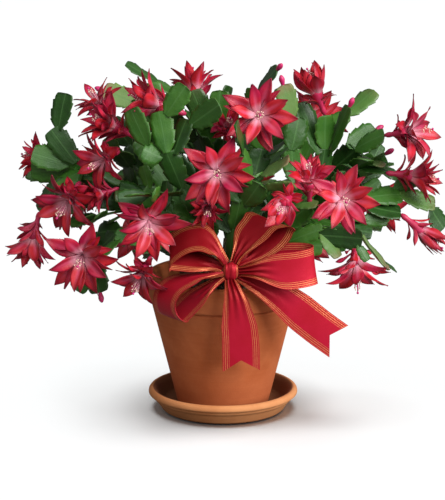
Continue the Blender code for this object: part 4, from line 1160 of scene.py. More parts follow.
def woody_feet():
    bm = bmesh.new()
    for _, _, (foot, tip) in stems.values():
        axis = tip - foot
        place = Matrix.Translation(foot + axis * (0.5 - WOOD_OVER / 2)) @ turned_to(axis)
        made = bmesh.ops.create_cone(bm, cap_ends=True, segments=14, radius1=WOOD_R[0], radius2=WOOD_R[1],
                                     depth=axis.length * (1 + WOOD_OVER), matrix=place)
        edges = dict.fromkeys(edge for vert in made["verts"] for edge in vert.link_edges)
        upright = [edge for edge in edges if edge.calc_length() > axis.length * 0.9]
        bmesh.ops.subdivide_edges(bm, edges=upright, cuts=WOOD_RINGS)
    for vert in bm.verts:
        vert.co += uneven(vert.co)
    return bm


bark = cloudy_material("old bark", 0.85, colour(0.07, 0.065, 0.030), colour(0.15, 0.12, 0.07), 150.0, 0.3,
                       (420.0, 0.7, 0.0012))
feet = finish_piece("woody_feet", woody_feet(), bark)
print("woody feet:", len(feet.data.polygons), "faces")

# %% [markdown]
# ## Blooms
# A bloom of this cactus is a tube of petals in tiers: a lower ring of short ones that curl back, and
# two rings at the mouth. Each petal is a narrow pointed blade, folded along its middle. The table
# gives each tier's root, widest place and tip as (distance from the bloom's axis, height), in mm.

# %% Table of petals
PETALS = {
    "star": (
        (5, 36, (0.5, 26), (15, 43), (28, 53), 6.4),
        (5, 0, (2, 23), (19, 33.5), (36, 38), 7.4),
        (3, 0, (1, 9), (10, 16.5), (19, 18), 4.4),
    ),
    "fan": (
        (5, 36, (3, 27), (9, 46), (16, 62), 5.2),
        (5, 0, (2, 23), (15, 40), (28, 52), 7.4),
        (3, 0, (1, 9), (11, 18), (21, 23), 4.6),
    ),
    "half": (
        (5, 36, (3, 26), (10, 42), (9, 58), 5.6),
        (5, 0, (2, 22), (13, 38), (18, 54), 7.2),
        (3, 0, (1, 9), (10, 16.5), (18, 18), 4.6),
    ),
    "closed": (
        (5, 36, (3.5, 26), (6, 42), (4, 60), 3.4),
        (5, 0, (2, 20), (9, 36), (9, 54), 5.0),
        (3, 0, (1, 9), (9, 19), (16, 25), 4.0),
    ),
}
# Petals that only the fine bloom has: some between the two rings at the mouth, and small ones that
# stand off the tube.
FINE_PETALS = {
    "star": ((7, 18, (1, 24), (18, 35), (33, 41), 4.4), (5, 60, (1, 17), (12, 24), (24, 28), 4.2)),
    "fan": ((6, 18, (2, 25), (12, 42), (24, 53), 4.4), (5, 60, (1, 17), (12, 26), (24, 34), 4.2)),
    "half": ((3, 18, (2, 25), (11, 40), (14, 54), 4.4), (4, 60, (1, 15), (10, 22), (19, 28), 3.6)),
    "closed": ((2, 18, (2, 24), (8, 38), (7, 55), 3.6), (3, 60, (1, 15), (9, 24), (17, 32), 3.2)),
}
FINE_BREADTH = 1.08                     # the fine petals are a little broader than the plain ones
FINE_REACH = 1.09                       # and their tips a little further out
# The degrees from one petal to the next, and how far its turn, reach and height may stray. Without a
# step, the petals of a tier stand evenly all round.
MAIN_SWAY = (72, 5, 0.92, 1.06, 1.5)
FINE_SWAY = (None, 22, 0.80, 1.12, 3)
print("petals in a star bloom:", sum(tier[0] for tier in PETALS["star"] + FINE_PETALS["star"]))

# %% [markdown]
# The tiers say where a petal should be, and the dice let each one stray a little from it. A petal
# follows a smooth curve through its three places. Its breadth starts narrow, is widest past the
# middle and runs out into a point.

# %% Where each petal goes
PETAL_PATTERN = unit_pattern(6, 12)
WIDEST = 0.55               # where along a petal it is widest
ROOT_BREADTH = 0.34         # how broad its root is, as a share of that


def petals_of(tiers, dice, step, swing, least, most, rise):
    """Each petal in turn, as (turn, root, widest place, tip, half breadth)."""
    for count, first, root, middle, tip, half_width in tiers:
        for k in range(count):
            turn = math.radians(first + (step or 360 / count) * k + dice.uniform(-swing, swing))
            reach = tip[0] * dice.uniform(least, most)
            lift = dice.uniform(-rise, rise)
            yield turn, root, (middle[0], middle[1] + lift * 0.5), (reach, tip[1] + lift), half_width


def along_petal(root, middle, tip, t):
    """The smooth curve through a petal's three places."""
    a, b, c = 2 * (t - 0.5) * (t - 1), -4 * t * (t - 1), 2 * t * (t - 0.5)
    return Vector((a * root[0] + b * middle[0] + c * tip[0], a * root[1] + b * middle[1] + c * tip[1]))


def petal_breadth(t):
    """The share of its half breadth that a petal has there."""
    if t < WIDEST:
        s = t / WIDEST
        return ROOT_BREADTH + (1 - ROOT_BREADTH) * s * s * (3 - 2 * s)
    return max(0.0, 1 - ((t - WIDEST) / (1 - WIDEST)) ** 1.7) ** 1.05


print("petal pattern:", len(PETAL_PATTERN.polygons), "faces")

# %% [markdown]
# A petal's fold, the roll of its edges and the curl of its tip are what catch the light, so each
# petal draws its own from seeded dice. The map along the petal lets the colour run from a pale
# throat to a deep tip.

# %% Shaping a bloom
def shape_petal(bm, layers, draw, turn, root, middle, tip, half_width):
    out = Vector((math.cos(turn), math.sin(turn), 0.0))
    across = Vector((-math.sin(turn), math.cos(turn), 0.0))
    up = Vector((0, 0, 1))
    fold = draw.uniform(0.12, 0.55)
    roll = draw.uniform(-0.14, 0.18)
    twist = draw.uniform(-1.0, 1.0)
    curl = draw.uniform(-4.5, 2.0)
    sway = draw.uniform(-4.2, 4.2)
    wave = draw.uniform(0.3, 1.0)
    phase = draw.uniform(0, math.tau)
    tint = draw.random()
    for vert, unit in copy_pattern(bm, PETAL_PATTERN):
        t = (unit.y + 1) / 2
        v = unit.x
        spot = along_petal(root, middle, tip, t)
        near = along_petal(root, middle, tip, t + 0.01) - along_petal(root, middle, tip, t - 0.01)
        near.normalize()
        spot += Vector((-near.y, near.x)) * curl * t * t
        face = out * -near.y + up * near.x
        lean = twist * t
        side_way = across * math.cos(lean) + face * math.sin(lean)
        face = face * math.cos(lean) - across * math.sin(lean)
        breadth = half_width * petal_breadth(t) * v
        lift = half_width * petal_breadth(t) * (fold * abs(v) + roll * v * v)
        lift += wave * v * abs(v) * math.sin(9 * t + phase)
        thick = (0.30 - 0.16 * abs(v)) * (1 if unit.z > 0.5 else -1)
        across_place = side_way * breadth + across * (sway * t * t)
        vert.co = (out * spot.x + up * spot.y + across_place + face * (lift + thick)) * MM
        vert[layers[0]] = tint
        vert[layers[1]] = min(1.0, max(0.0, (spot.y - 8) / 30))


def shaped_bloom(kind, seed):
    bm, layers = emptied(PETAL_PATTERN)
    draw = random.Random(seed + " fine")
    for turn, root, middle, tip, half_width in petals_of(PETALS[kind], random.Random(seed), *MAIN_SWAY):
        far_tip = (tip[0] * FINE_REACH, tip[1])
        shape_petal(bm, layers, draw, turn, root, middle, far_tip, half_width * FINE_BREADTH)
    for petal in petals_of(FINE_PETALS[kind], draw, *FINE_SWAY):
        shape_petal(bm, layers, draw, *petal)
    return mesh_of(bm, f"{kind} bloom")

# %% [markdown]
# As with the leaves, the plain model may have turned a bloom about its axis or made it a little
# smaller to clear its neighbours. The tips of the two tiers at its mouth tell which: they are tried
# in each turn and size, and the one that brings them nearest to the plain solid is kept.

# %% Finding each bloom's turn
BLOOM_SIZES = (1.0, 0.93, 0.86, 0.80, 0.74)
BLOOM_TURNS = (0, 12, 24, 36, 48, 60)


def tier_tips(kind, seed):
    petals = petals_of(PETALS[kind][:2], random.Random(seed), *MAIN_SWAY)
    return [Vector((tip[0] * math.cos(turn), tip[0] * math.sin(turn), tip[1])) * MM
            for turn, _, _, tip, _ in petals]


def find_bloom(name, kind, seed):
    """How far the tips lie from the plain bloom at best, all together, and the place for that."""
    tree = tree_of(name)
    place = bloom_matrix(name)
    best = None
    for size in BLOOM_SIZES:
        for turn in BLOOM_TURNS:
            trial = place @ Matrix.Rotation(math.radians(turn), 4, "Z") @ Matrix.Scale(size, 4)
            miss = sum(tree.find_nearest(trial @ tip)[3] for tip in tier_tips(kind, seed))
            if best is None or miss < best[0]:
                best = (miss, trial)
    return best

# %% [markdown]
# Petals are silk with a gradient: nearly white in the throat, rose in the middle of the blade, and
# crimson towards the edges and the tip, where they darken. The pale throat and the rose stripe along
# the fold are partly the petal's own colour and partly a painted highlight. Fine veins run along them.
# A soft sheen lifts the folds.

# %% Petal silk
def petal_material():
    material, tree, shader = new_material(
        "petal silk", Sheen_Weight=0.05, Sheen_Roughness=0.35, Sheen_Tint=colour(1.0, 0.45, 0.55),
        Specular_IOR_Level=0.32)
    where, v, u = own_map(tree)
    off_fold = sums(tree, "ABSOLUTE", sums(tree, "SUBTRACT", v, 0.5))
    red = mixed(tree, ramped(tree, painted(tree, "tint"), 0.3, 0.7), colour(0.47, 0.008, 0.013),
                colour(0.38, 0.006, 0.052))
    warm = clouded(tree, red, colour(0.55, 0.022, 0.034), 38.0, 0.22)
    # Partly painted highlight: a rose stripe along the fold, fading towards the tip.
    middle = sums(tree, "MULTIPLY", ramped(tree, off_fold, 0.0, 0.24, 1.0, 0.0),
                  ramped(tree, u, 0.30, 0.92, 0.70, 0.0))
    tone = mixed(tree, middle, warm, colour(0.70, 0.115, 0.225))
    # The throat's own pale colour, partly also a painted highlight.
    throat = sums(tree, "MULTIPLY", ramped(tree, u, 0.14, 0.46, 0.75, 0.0),
                  ramped(tree, painted(tree, "young"), 0.42, 0.72, 0.0, 1.0))
    tone = mixed(tree, throat, tone, colour(0.90, 0.52, 0.62))
    tone = mixed(tree, ramped(tree, u, 0.70, 1.0, 0.0, 0.80), tone, colour(0.130, 0.001, 0.014))
    tone = mixed(tree, ramped(tree, off_fold, 0.38, 0.5, 0.0, 0.50), tone, colour(0.20, 0.002, 0.022))
    veins = streaked(tree, where, (26.0, 1.6, 1.0), 2.0)
    tone = mixed(tree, ramped(tree, veins, 0.5, 0.75, 0.0, 0.40), tone, colour(0.20, 0.002, 0.020))
    dress(tree, shader, Base_Color=tone, Roughness=ramped(tree, veins, 0.3, 0.7, 0.32, 0.46),
          Normal=relief(tree, 300.0, 0.30, 0.0006, sums(tree, "MULTIPLY", veins, 1.2)))
    return material


petal_silk = petal_material()
print("nodes in the petal silk:", len(petal_silk.node_tree.nodes))

# %% [markdown]
# Each kind of bloom has up to three shapes of its own, and every bloom takes one of them, so the
# blooms don't look stamped out.

# %% Petals of every bloom
LOOKS = 3
WORTH_SAYING = 0.0005       # a bloom whose tips are further off than this, all together, is named
bloom_shapes = {}
bloom_places = {}
for name, (_, _, kind, _) in BLOOMS.items():
    seed = f"{kind} {int(name[-2:]) % LOOKS}"
    if seed not in bloom_shapes:
        bloom_shapes[seed] = shaped_bloom(kind, seed)
    miss, place = find_bloom(name, kind, seed)
    bloom_places[name] = place
    bm = bmesh.new()
    bm.from_mesh(bloom_shapes[seed])
    bm.transform(place)
    finish_piece(f"{name}_petals", bm, petal_silk, [name])
    if miss > WORTH_SAYING:
        print(name, "is off by", round(miss * 1000, 2), "mm")
print("bloom shapes:", len(bloom_shapes), "with", len(bloom_shapes[seed].polygons), "faces each")

# %% [markdown]
# Behind the petals is the tube they grow from, with the small swollen ovary at its base. In front,
# a bundle of thin pale threads carries the anthers, and one magenta style reaches past them.

# %% Tubes, threads and styles
TUBE = ((0.0, 0.0), (1.7, 0.4), (2.9, 3.4), (3.2, 6.0), (2.7, 8.6), (3.2, 12.0), (4.6, 19.0), (6.2, 26.0),
        (7.2, 31.0), (6.4, 31.0), (4.4, 25.0), (0.0, 20.0))     # radius and height, in mm
STYLE_TOP = {"star": 59, "fan": 59, "half": 55, "closed": 56}   # the height of the style's tip, in mm
THREADS = 14
THREADS_FROM = 20           # the height in the tube that they start at, in mm
THREAD_SPREAD = (1.6, 4.6)  # how far out their ends are, in mm
THREAD_SHORT = (3, 11)      # and how far below the style's tip
THREAD_R = 0.00028
ANTHER_R = 0.00085
STYLE_R = 0.00055
STIGMA_R = 0.0013           # the small ball at the style's tip


def spun_mesh(profile, name, steps):
    return mesh_of(spun([Vector((r * MM, 0, z * MM)) for r, z in profile], steps=steps), name)


def add_thread(bm, places, radius):
    """A thin stalk through the places."""
    bottom = bmesh.ops.create_circle(bm, cap_ends=True, segments=4, radius=radius,
                                     matrix=Matrix.Translation(places[0]))["verts"]
    face = bottom[0].link_faces[0]
    for before, place in zip(places, places[1:]):
        made = bmesh.ops.extrude_discrete_faces(bm, faces=[face])
        face = made["faces"][0]
        bmesh.ops.translate(bm, verts=face.verts[:], vec=place - before)


def threads_of(kind, name):
    """Places of the threads and of the style, in the bloom's own frame."""
    draw = random.Random(name + " threads")
    top = STYLE_TOP[kind]
    threads = []
    for k in range(THREADS):
        turn = math.tau * k / THREADS + draw.uniform(-0.2, 0.2)
        away = draw.uniform(*THREAD_SPREAD)
        rise = top - draw.uniform(*THREAD_SHORT) - THREADS_FROM
        droop = draw.uniform(-0.8, 0.8)
        stalk = []
        for s in (0.0, 0.3, 0.6, 0.85, 1.0):
            out = away * s ** 1.4
            spot = (out * math.cos(turn), out * math.sin(turn) + droop * s, THREADS_FROM + rise * s)
            stalk.append(at(spot))
        threads.append(stalk)
    style = [at((0.3 * math.sin(s * 3), -0.3 * s, THREADS_FROM + (top - THREADS_FROM) * s))
             for s in (0.0, 0.4, 0.8, 1.0)]
    return threads, style


print("threads in each bloom:", THREADS)

# %% [markdown]
# All the tubes are one piece, and so are all the threads, the anthers and the styles: they are small
# and alike, and each has a single finish.

# %% Inner parts of every bloom
tubes, threads, anthers, styles = (bmesh.new() for _ in range(4))
tube_mesh = spun_mesh(TUBE, "tube", 14)
for name, place in bloom_places.items():
    add_copy(tubes, tube_mesh, place)
    stalks, style = threads_of(BLOOMS[name][2], name)
    for stalk in stalks:
        add_thread(threads, [place @ spot for spot in stalk], THREAD_R)
        bmesh.ops.create_icosphere(anthers, subdivisions=1, radius=ANTHER_R,
                                   matrix=Matrix.Translation(place @ stalk[-1]))
    add_thread(styles, [place @ spot for spot in style], STYLE_R)
    bmesh.ops.create_icosphere(styles, subdivisions=2, radius=STIGMA_R,
                               matrix=Matrix.Translation(place @ style[-1]))
for bm in (threads, styles):
    bmesh.ops.recalc_face_normals(bm, faces=bm.faces[:])


def inner_material(name, first, second):
    return cloudy_material(name, 0.45, first, second, 260.0, 0.2)


tube_skin = cloudy_material("flower tube", 0.42, colour(0.42, 0.010, 0.050), colour(0.56, 0.030, 0.110),
                            120.0, 0.3, (500.0, 0.3, 0.0005))
pale = inner_material("pale threads", colour(0.85, 0.50, 0.56), colour(0.75, 0.25, 0.36))
cream = inner_material("anthers", colour(0.86, 0.66, 0.52), colour(0.72, 0.42, 0.34))
magenta = inner_material("magenta styles", colour(0.62, 0.02, 0.20), colour(0.45, 0.01, 0.12))
for name, bm, skin in (("flower_tubes", tubes, tube_skin), ("threads", threads, pale),
                       ("anthers", anthers, cream), ("styles", styles, magenta)):
    piece = finish_piece(name, bm, skin)
    print(name, "have", len(piece.data.polygons), "faces")

# %% [markdown]
# The flower buds are small magenta cones at the ends of some leaves, with the tips of their petals
# just closed over each other. Each is a spun profile with a swelling.

# %% Buds
BUD = ((0.0, -0.4), (1.3, 0.0), (1.9, 1.6), (2.6, 4.5), (3.1, 7.0), (2.7, 9.2), (1.5, 11.4), (0.0, 12.4))
bud_mesh = spun_mesh(BUD, "bud", 12)
bud_tips = [link for _, buds, _ in stems.values() for link in buds]
bm = bmesh.new()
for link in bud_tips:
    along = (link[1] - link[0]).normalized()
    add_copy(bm, bud_mesh, Matrix.Translation(link[1] - along * BUD_SINK) @ turned_to(along))
bud_skin = inner_material("bud skin", colour(0.60, 0.02, 0.16), colour(0.45, 0.01, 0.07))
finish_piece("buds", bm, bud_skin)
print("buds:", len(bud_tips))

# %% [markdown]
# ## The bow
# The bow is tied from satin ribbon with gold lines woven along both edges. Every loop leaves the
# knot, opens to the ribbon's full breadth and comes back. The table gives the middle line of each
# strip in mm, the way its breadth points, and how narrow it is at the knot.

# %% Tables of the bow
KNOT = Vector((0.008, -0.087, 0.172))
KNOT_R = Vector((0.0085, 0.007, 0.0095))
KNOT_GAP = 0.0009
RIBBON_W = 0.0385
RIBBON_T = 0.0004
NARROW = 0.6                # a strip that is this much narrower than its full breadth lies square
SLANT_LEAST = 0.8           # a slanting strip is widened by no more than one over this
PINCHED = 0.30              # a loop is gathered over this share of its length at both ends
LOOPS = {
    "bow_loop_upper_left": (
        ((-9, -82, 198), (-20, -80, 206), (-34, -79, 205), (-46, -79, 199), (-55, -80, 191),
         (-50, -81, 187), (-34, -82, 185), (-14, -83, 180)),
        (0.0, 0.80, 0.60), 0.36),
    "bow_loop_lower_left": (
        ((-15, -92, 169), (-34, -94, 167), (-52, -95, 158), (-60, -95, 144), (-58, -95, 131),
         (-51, -95, 125), (-44, -94, 130), (-34, -92, 140), (-22, -90, 151)),
        (0.60, -0.80, 0.0), 0.28),
    "bow_loop_upper_right": (
        ((16, -82, 190), (23, -79, 202), (32, -76, 213), (41, -74, 222), (51, -73, 223),
         (56, -73, 216), (51, -74, 207), (41, -76, 197), (30, -78, 187)),
        (0.80, -0.55, -0.20), 0.28),
    "bow_loop_right": (
        ((40, -97, 176), (63, -99, 175), (85, -95, 177), (95, -86, 179), (84, -76, 180),
         (60, -71, 178), (38, -73, 170)),
        (0.12, -0.05, -0.98), 0.28),
}
TAILS = {
    "bow_tail_front": (
        ((8, -92, 163), (11, -95, 152), (14, -95, 137), (18, -91, 102), (19, -87, 66)),
        (1.0, 0.0, 0.05), (0.30, 0.68, 0.95, 1.0, 1.0)),
    "bow_tail_right": (
        ((19, -87, 166), (40, -84, 156), (59, -82, 144), (78, -80, 128), (100, -79, 110), (120, -78, 95)),
        (0.50, 0.10, 0.86), (0.28, 0.60, 0.85, 1.0, 1.0, 1.0)),
}
TAIL_NOTCH = 0.012
NOTCH_ROWS = 8              # the notch is cut over this many rows at a tail's end
# Painted shade: some loops and the knot are darkened in their colour, the upper loops most, where the crown
# shades them.
LOOP_PAINTED_SHADE = {"bow_loop_upper_left": 0.95, "bow_loop_upper_right": 1.0, "bow_loop_lower_left": 0.35}
KNOT_PAINTED_SHADE = 0.55


def knot_seat(place):
    """Where a strip that comes from a place meets the knot."""
    out = (place - KNOT).normalized()
    edge = 1.0 / math.sqrt(sum((out[i] / KNOT_R[i]) ** 2 for i in range(3)))
    return KNOT + out * (edge + KNOT_GAP * 0.3)


print("loops and tails:", *LOOPS, *TAILS)

# %% [markdown]
# A strip is the same closed pattern as a leaf, laid along its middle line. Where it narrows towards
# the knot the satin is gathered, so it gets pleats there: their up and down keeps the cloth's real
# breadth. The map runs across the ribbon from 0 to 1 and along it in breadths.

# %% Laying a strip of ribbon
def lay_strip(name, centres, breadth, shares, notch):
    draw = random.Random(name)
    shade = LOOP_PAINTED_SHADE.get(name, 0.0)
    rows = len(centres) - 1
    bm = bmesh.new()
    points = copy_pattern(bm, unit_pattern(24, rows))
    shade_layer = bm.verts.layers.float["tint"]
    steady = breadth.normalized()
    pleats = draw.uniform(1.4, 1.9)
    phase = draw.uniform(0, math.tau)
    crown = draw.uniform(0.4, 1.1) * MM
    frames = []
    for k, centre in enumerate(centres):
        ahead = (centres[min(k + 1, rows)] - centres[max(k - 1, 0)]).normalized()
        squared = min(1.0, (1.0 - shares[k]) / NARROW)
        across = (steady - ahead * steady.dot(ahead) * squared).normalized()
        slant = ahead.cross(across)
        half = RIBBON_W * shares[k] / 2 / max(slant.length, SLANT_LEAST)
        frames.append((centre, ahead, across, slant.normalized(), half))
    length = sum((b - a).length for a, b in zip(centres, centres[1:]))
    uv = bm.loops.layers.uv["UVMap"]
    for face in bm.faces:
        for loop in face.loops:
            loop[uv].uv = (loop[uv].uv.x, loop[uv].uv.y * length / RIBBON_W)
    for vert, unit in points:
        k = round((unit.y + 1) / 2 * rows)
        centre, ahead, across, normal, half = frames[k]
        v = unit.x
        gather = max(0.0, 1 - shares[k])
        lift = gather ** 1.5 * 0.0032 * math.sin(math.tau * pleats * v + phase)
        lift += crown * (1 - v * v) * shares[k]
        side = RIBBON_T / 2 * (1 if unit.z > 0.5 else -1)
        cut = notch * (1 - abs(v)) * max(0.0, 1 - (rows - k) / NOTCH_ROWS)
        vert.co = centre - ahead * cut + across * (half * v) + normal * (lift + side)
        # Painted shade: each loop's darkening from its table, and more where the satin is gathered at the
        # knot.
        vert[shade_layer] = max(shade, min(1.0, 1.6 * gather))
    bmesh.ops.recalc_face_normals(bm, faces=bm.faces[:])
    return bm, length


def loop_strip(name, points, breadth, pinch, rows=64):
    route = [at(p) for p in points]
    route = [knot_seat(route[0])] + route + [knot_seat(route[-1])]
    centres = spaced(route, rows, 24)
    shares = []
    for k in range(rows + 1):
        t = min(1.0, min(k, rows - k) / rows / PINCHED)
        shares.append(pinch + (1 - pinch) * t * t * (3 - 2 * t))
    return lay_strip(name, centres, Vector(breadth), shares, 0.0)


def tail_strip(name, points, breadth, widths, rows=48):
    route = [at(p) for p in points]
    centres = spaced([knot_seat(route[0])] + route, rows, 24)
    shares = []
    for k in range(rows + 1):
        place = k / rows * (len(widths) - 1)
        low = min(int(place), len(widths) - 2)
        shares.append(widths[low] + (widths[low + 1] - widths[low]) * (place - low))
    return lay_strip(name, centres, Vector(breadth), shares, TAIL_NOTCH)

# %% [markdown]
# Satin shines because its threads float along the ribbon for a long way. So the red has a broad
# soft gloss with a fine ribbing, and the gold lines are metal thread: four narrow lines near each
# edge. A line is a mask from the ribbon's own map: a wave across, kept only inside the two bands.

# %% Satin ribbon with gold lines
LINES_FROM = 0.022          # the band of gold lines, as a share of the ribbon's breadth
LINES_TO = 0.182
LINES_WAVE = math.tau * 3 / (LINES_TO - LINES_FROM)     # four lines, the outer two on the band's edges
BAND_EDGE = 0.004
WEAVE_COUNT = 62            # ribs in a length as long as the ribbon is broad
THREAD_COUNT = 58           # threads across its breadth


def ribbon_material():
    material, tree, shader = new_material("satin ribbon", Specular_IOR_Level=0.20, Anisotropic=0.4)
    _, v, u = own_map(tree)
    off_middle = sums(tree, "ABSOLUTE", sums(tree, "SUBTRACT", v, 0.5))
    from_edge = sums(tree, "SUBTRACT", 0.5, off_middle)
    band = sums(tree, "MULTIPLY", ramped(tree, from_edge, LINES_FROM - BAND_EDGE, LINES_FROM + BAND_EDGE),
                ramped(tree, from_edge, LINES_TO - BAND_EDGE, LINES_TO + BAND_EDGE, 1.0, 0.0))
    wave = sums(tree, "COSINE", sums(tree, "MULTIPLY", sums(tree, "SUBTRACT", from_edge, LINES_FROM),
                                     LINES_WAVE))
    lines = sums(tree, "MULTIPLY", ramped(tree, wave, 0.25, 0.75), band)
    weave = sums(tree, "SINE", sums(tree, "MULTIPLY", u, math.tau * WEAVE_COUNT))
    thread = sums(tree, "SINE", sums(tree, "MULTIPLY", v, math.tau * THREAD_COUNT))
    cloth = clouded(tree, colour(0.47, 0.009, 0.024), colour(0.56, 0.012, 0.042), 30.0, 0.3)
    cloth = mixed(tree, ramped(tree, weave, -1.0, 1.0, 0.0, 0.12), cloth, colour(0.24, 0.002, 0.010))
    # Painted shade: the tint layer darkens the cloth on the shaded loops, on the knot and where the satin is
    # gathered.
    painted_shade = ramped(tree, painted(tree, "tint"), 0.0, 1.0, 0.0, 0.85)
    cloth = mixed(tree, painted_shade, cloth, colour(0.22, 0.004, 0.006))
    gold = clouded(tree, colour(0.92, 0.42, 0.15), colour(0.72, 0.22, 0.07), 400.0, 0.3)
    height = sums(tree, "ADD", sums(tree, "MULTIPLY", weave, 0.25), sums(tree, "MULTIPLY", thread, 0.15))
    height = sums(tree, "ADD", height, sums(tree, "MULTIPLY", lines, 1.2))
    dress(tree, shader, Base_Color=mixed(tree, sums(tree, "MULTIPLY", lines, 0.80), cloth, gold),
          Metallic=ramped(tree, lines, 0.0, 1.0, 0.30, 0.50),
          Roughness=ramped(tree, lines, 0.0, 1.0, 0.42, 0.34),
          Normal=relief(tree, 700.0, 0.25, 0.0003, height))
    return material


satin = ribbon_material()
print("gold lines cover", round(200 * (LINES_TO - LINES_FROM)), "percent of the ribbon")

# %% [markdown]
# The knot is a short piece of the same ribbon, pulled tight round the gathered loops from top to
# bottom, so its folds run up and down. It is made from a ball that is squared off a little and whose
# surface goes in and out with a wave across it.

# %% The knot
def folded_knot():
    bm = bmesh.new()
    bmesh.ops.create_uvsphere(bm, u_segments=64, v_segments=40, radius=1.0)
    bmesh.ops.rotate(bm, verts=bm.verts[:], cent=(0, 0, 0), matrix=Matrix.Rotation(math.radians(90), 3, "Y"))
    uv = bm.loops.layers.uv.new("UVMap")
    for face in bm.faces:
        middle = face.calc_center_median()
        for loop in face.loops:
            spot = loop.vert.co
            around = math.atan2(spot.z, spot.y)
            if abs(around - math.atan2(middle.z, middle.y)) > math.pi:
                around += math.copysign(math.tau, middle.z)
            loop[uv].uv = (0.5 + 0.5 * spot.x, 0.25 * around)
    for vert in bm.verts:
        spot = vert.co
        fold = 1 + 0.06 * math.sin(8.5 * spot.x + 1.1 * spot.z) + 0.025 * math.sin(19 * spot.x - 2 * spot.z)
        square = Vector([math.copysign(abs(c) ** 0.82, c) for c in spot])
        vert.co = Vector((square.x, square.y * fold, square.z * fold))
    bm.transform(Matrix.Translation(KNOT) @ Matrix.Diagonal((*(KNOT_R * 0.97), 1.0)))
    # Painted shade: the whole knot is darkened, as if in the shade between the loops.
    tint = bm.verts.layers.float.new("tint")
    for vert in bm.verts:
        vert[tint] = KNOT_PAINTED_SHADE
    return bm


knot = finish_piece("gathered_knot", folded_knot(), satin, ["bow_knot"])
print("knot:", len(knot.data.polygons), "faces")

# %% [markdown]
# Each loop and each tail is one strip of cloth, and its length is printed. The loops are gathered into
# the knot, and the tails hang from it.

# %% Loops and tails
for name, (points, breadth, pinch) in LOOPS.items():
    bm, length = loop_strip(name, points, breadth, pinch)
    strip = finish_piece(f"{name}_satin", bm, satin, [name], sharp=60)
    print(name, "is", round(length * 1000), "mm of ribbon")
for name, (points, breadth, widths) in TAILS.items():
    bm, length = tail_strip(name, points, breadth, widths)
    strip = finish_piece(f"{name}_satin", bm, satin, [name], sharp=60)
    print(name, "is", round(length * 1000), "mm of ribbon")

# %% [markdown]
# The thin stick that carries the bow stays as the plain model has it, with a finish of stained wood:
# grain that runs along its length.

# %% The bow's pick
def pick_material():
    material, tree, shader = new_material("stained pick", Roughness=0.6)
    place = add(tree, "ShaderNodeTexCoord").outputs["Object"]
    grain = streaked(tree, place, (900.0, 900.0, 30.0), 2.0)
    dress(tree, shader, Base_Color=mixed(tree, grain, colour(0.03, 0.09, 0.03), colour(0.08, 0.17, 0.05)),
          Normal=relief(tree, 500.0, 0.3, 0.0003))
    return material


nodes["bow_pick"].data.materials.clear()
nodes["bow_pick"].data.materials.append(pick_material())
print("the pick keeps its plain form:", len(nodes["bow_pick"].data.polygons), "faces")

# %% [markdown]
# ## The studio
# A wide white floor under white surroundings gives a plain background with no horizon. The floor
# shows its own white to the camera, but it throws only a weak grey light back at the plant, so the
# underside of the leaves stays dark.

# %% Floor
FLOOR_HALF = 9.0
FLOOR_DROP = 0.0002         # the floor is this far under the saucer


def floor_piece():
    material, tree, shader = new_material("studio floor", Roughness=0.9)
    tone = clouded(tree, colour(0.92, 0.94, 0.943), colour(0.94, 0.96, 0.963), 2.0, 0.3)
    seen = add(tree, "ShaderNodeLightPath").outputs["Is Camera Ray"]
    dress(tree, shader, Base_Color=mixed(tree, seen, colour(0.20, 0.19, 0.18), tone))
    bm = bmesh.new()
    bmesh.ops.create_grid(bm, x_segments=1, y_segments=1, size=FLOOR_HALF)
    bmesh.ops.translate(bm, verts=bm.verts[:], vec=(0, 0, -FLOOR_DROP))
    mesh = mesh_of(bm, "floor")
    mesh.materials.append(material)
    return placed("floor", mesh)


floor = floor_piece()
print("floor:", 2 * FLOOR_HALF, "metres wide")

# %% [markdown]
# One big soft light comes from the right in front and a weaker one from the left, so the pot is
# bright on its right side and every form keeps a shaded edge. A third, from nearly overhead, is for
# the floor alone. A sun gives the same light at any distance, and its angle sets how soft it is.

# %% Lights
def add_sun(name, azimuth, elevation, strength, spread):
    """A soft even light from one side: azimuth 0 is in front, 90 on the right."""
    lamp = bpy.data.lights.new(name, "SUN")
    lamp.energy = strength
    lamp.angle = math.radians(spread)
    light = placed(name, lamp)
    side = math.radians(azimuth)
    rise = math.radians(elevation)
    toward = Vector((math.sin(side) * math.cos(rise), -math.cos(side) * math.cos(rise), math.sin(rise)))
    light.rotation_euler = toward.to_track_quat("Z", "Y").to_euler()
    return light


key = add_sun("key light", 54, 30, 4.7, 48)
fill = add_sun("fill light", -20, 45, 1.15, 60)
table_light = add_sun("table light", 0, 79, 2.95, 38)
print("lights:", key.name, fill.name, table_light.name)

# %% [markdown]
# The two side lights would throw a long shadow of the crown over the floor. In a studio a screen
# keeps them off it; here they simply aren't linked to the floor. The table light draws the round
# shadow under the plant, from its heavier parts only. The key light passes through the blooms and
# leaves that hang over the pot's right side, so the clay there is as bright as beside them.

# %% What each light falls on
def listed(name, objects, state):
    """A group of objects for a light, with each one let in or left out."""
    group = bpy.data.collections.new(name)
    for item in objects:
        group.objects.link(item)
    for member in group.collection_objects:
        member.light_linking.link_state = state
    return group


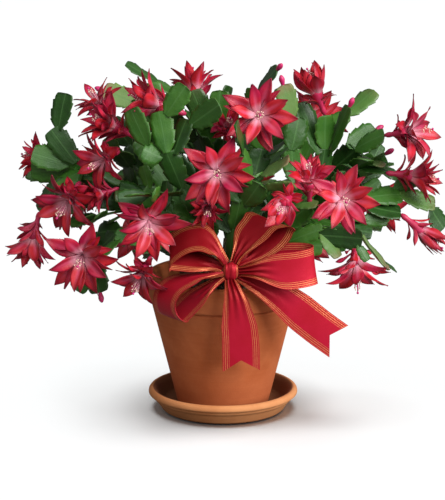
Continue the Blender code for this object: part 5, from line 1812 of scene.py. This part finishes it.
def pieces(*groups):
    """The finished pieces with these endings, given as (names, ending)."""
    return [bpy.data.objects[name + ending] for names, ending in groups for name in names]


for light, state in ((key, "EXCLUDE"), (fill, "EXCLUDE"), (table_light, "INCLUDE")):
    light.light_linking.receiver_collection = listed(f"floor under the {light.name}", [floor], state)
casting = pieces((("turned_pot", "turned_saucer", "gathered_knot"), ""), ((*LOOPS, *TAILS), "_satin"),
                 (("stem_04", "stem_05", "stem_11", "stem_14"), "_leaves"),
                 (("bloom_18", "bloom_21", "bloom_22"), "_petals"))
passed = pieces((("bloom_17", "bloom_18", "bloom_19", "bloom_20", "bloom_21"), "_petals"),
                (("stem_11", "stem_13"), "_leaves"))
table_light.light_linking.blocker_collection = listed("what shades the table light", casting, "INCLUDE")
key.light_linking.blocker_collection = listed("what the key light passes through", passed, "EXCLUDE")
print("pieces that shade the table light:", len(casting), "and that the key light passes:", len(passed))

# %% [markdown]
# The white surroundings show to the camera at full strength but light the plant weakly, so the
# inside of the crown stays dark.

# %% White surroundings
AMBIENT = 0.20
world = bpy.data.worlds.new("studio")
bpy.context.scene.world = world
world.use_nodes = True
backdrop = world.node_tree.nodes["Background"]
backdrop.inputs["Color"].default_value = colour(1, 1, 1)
seen = add(world.node_tree, "ShaderNodeLightPath").outputs["Is Camera Ray"]
plug(world.node_tree, ramped(world.node_tree, seen, 0.0, 1.0, AMBIENT, 1.0), backdrop.inputs["Strength"])
bpy.context.scene.view_settings.view_transform = "Standard"
print("surroundings:", world.name)

# %% [markdown]
# The camera stands two and a half metres away and looks a little down, with a long lens, so the
# pot's rims show as thin ellipses and nothing is stretched.

# %% Camera
LOOKS_DOWN = 13.2           # degrees
lens = bpy.data.cameras.new("camera")
lens.lens = 173.9
lens.sensor_width = 36.0
lens.shift_x = -0.001
camera = placed("camera", lens)
camera.location = (0.0, -2.492, 0.7586)
camera.rotation_euler = (math.radians(90 - LOOKS_DOWN), 0.0, 0.0)
bpy.context.scene.camera = camera
print("camera:", lens.lens, "mm lens at", tuple(camera.location))
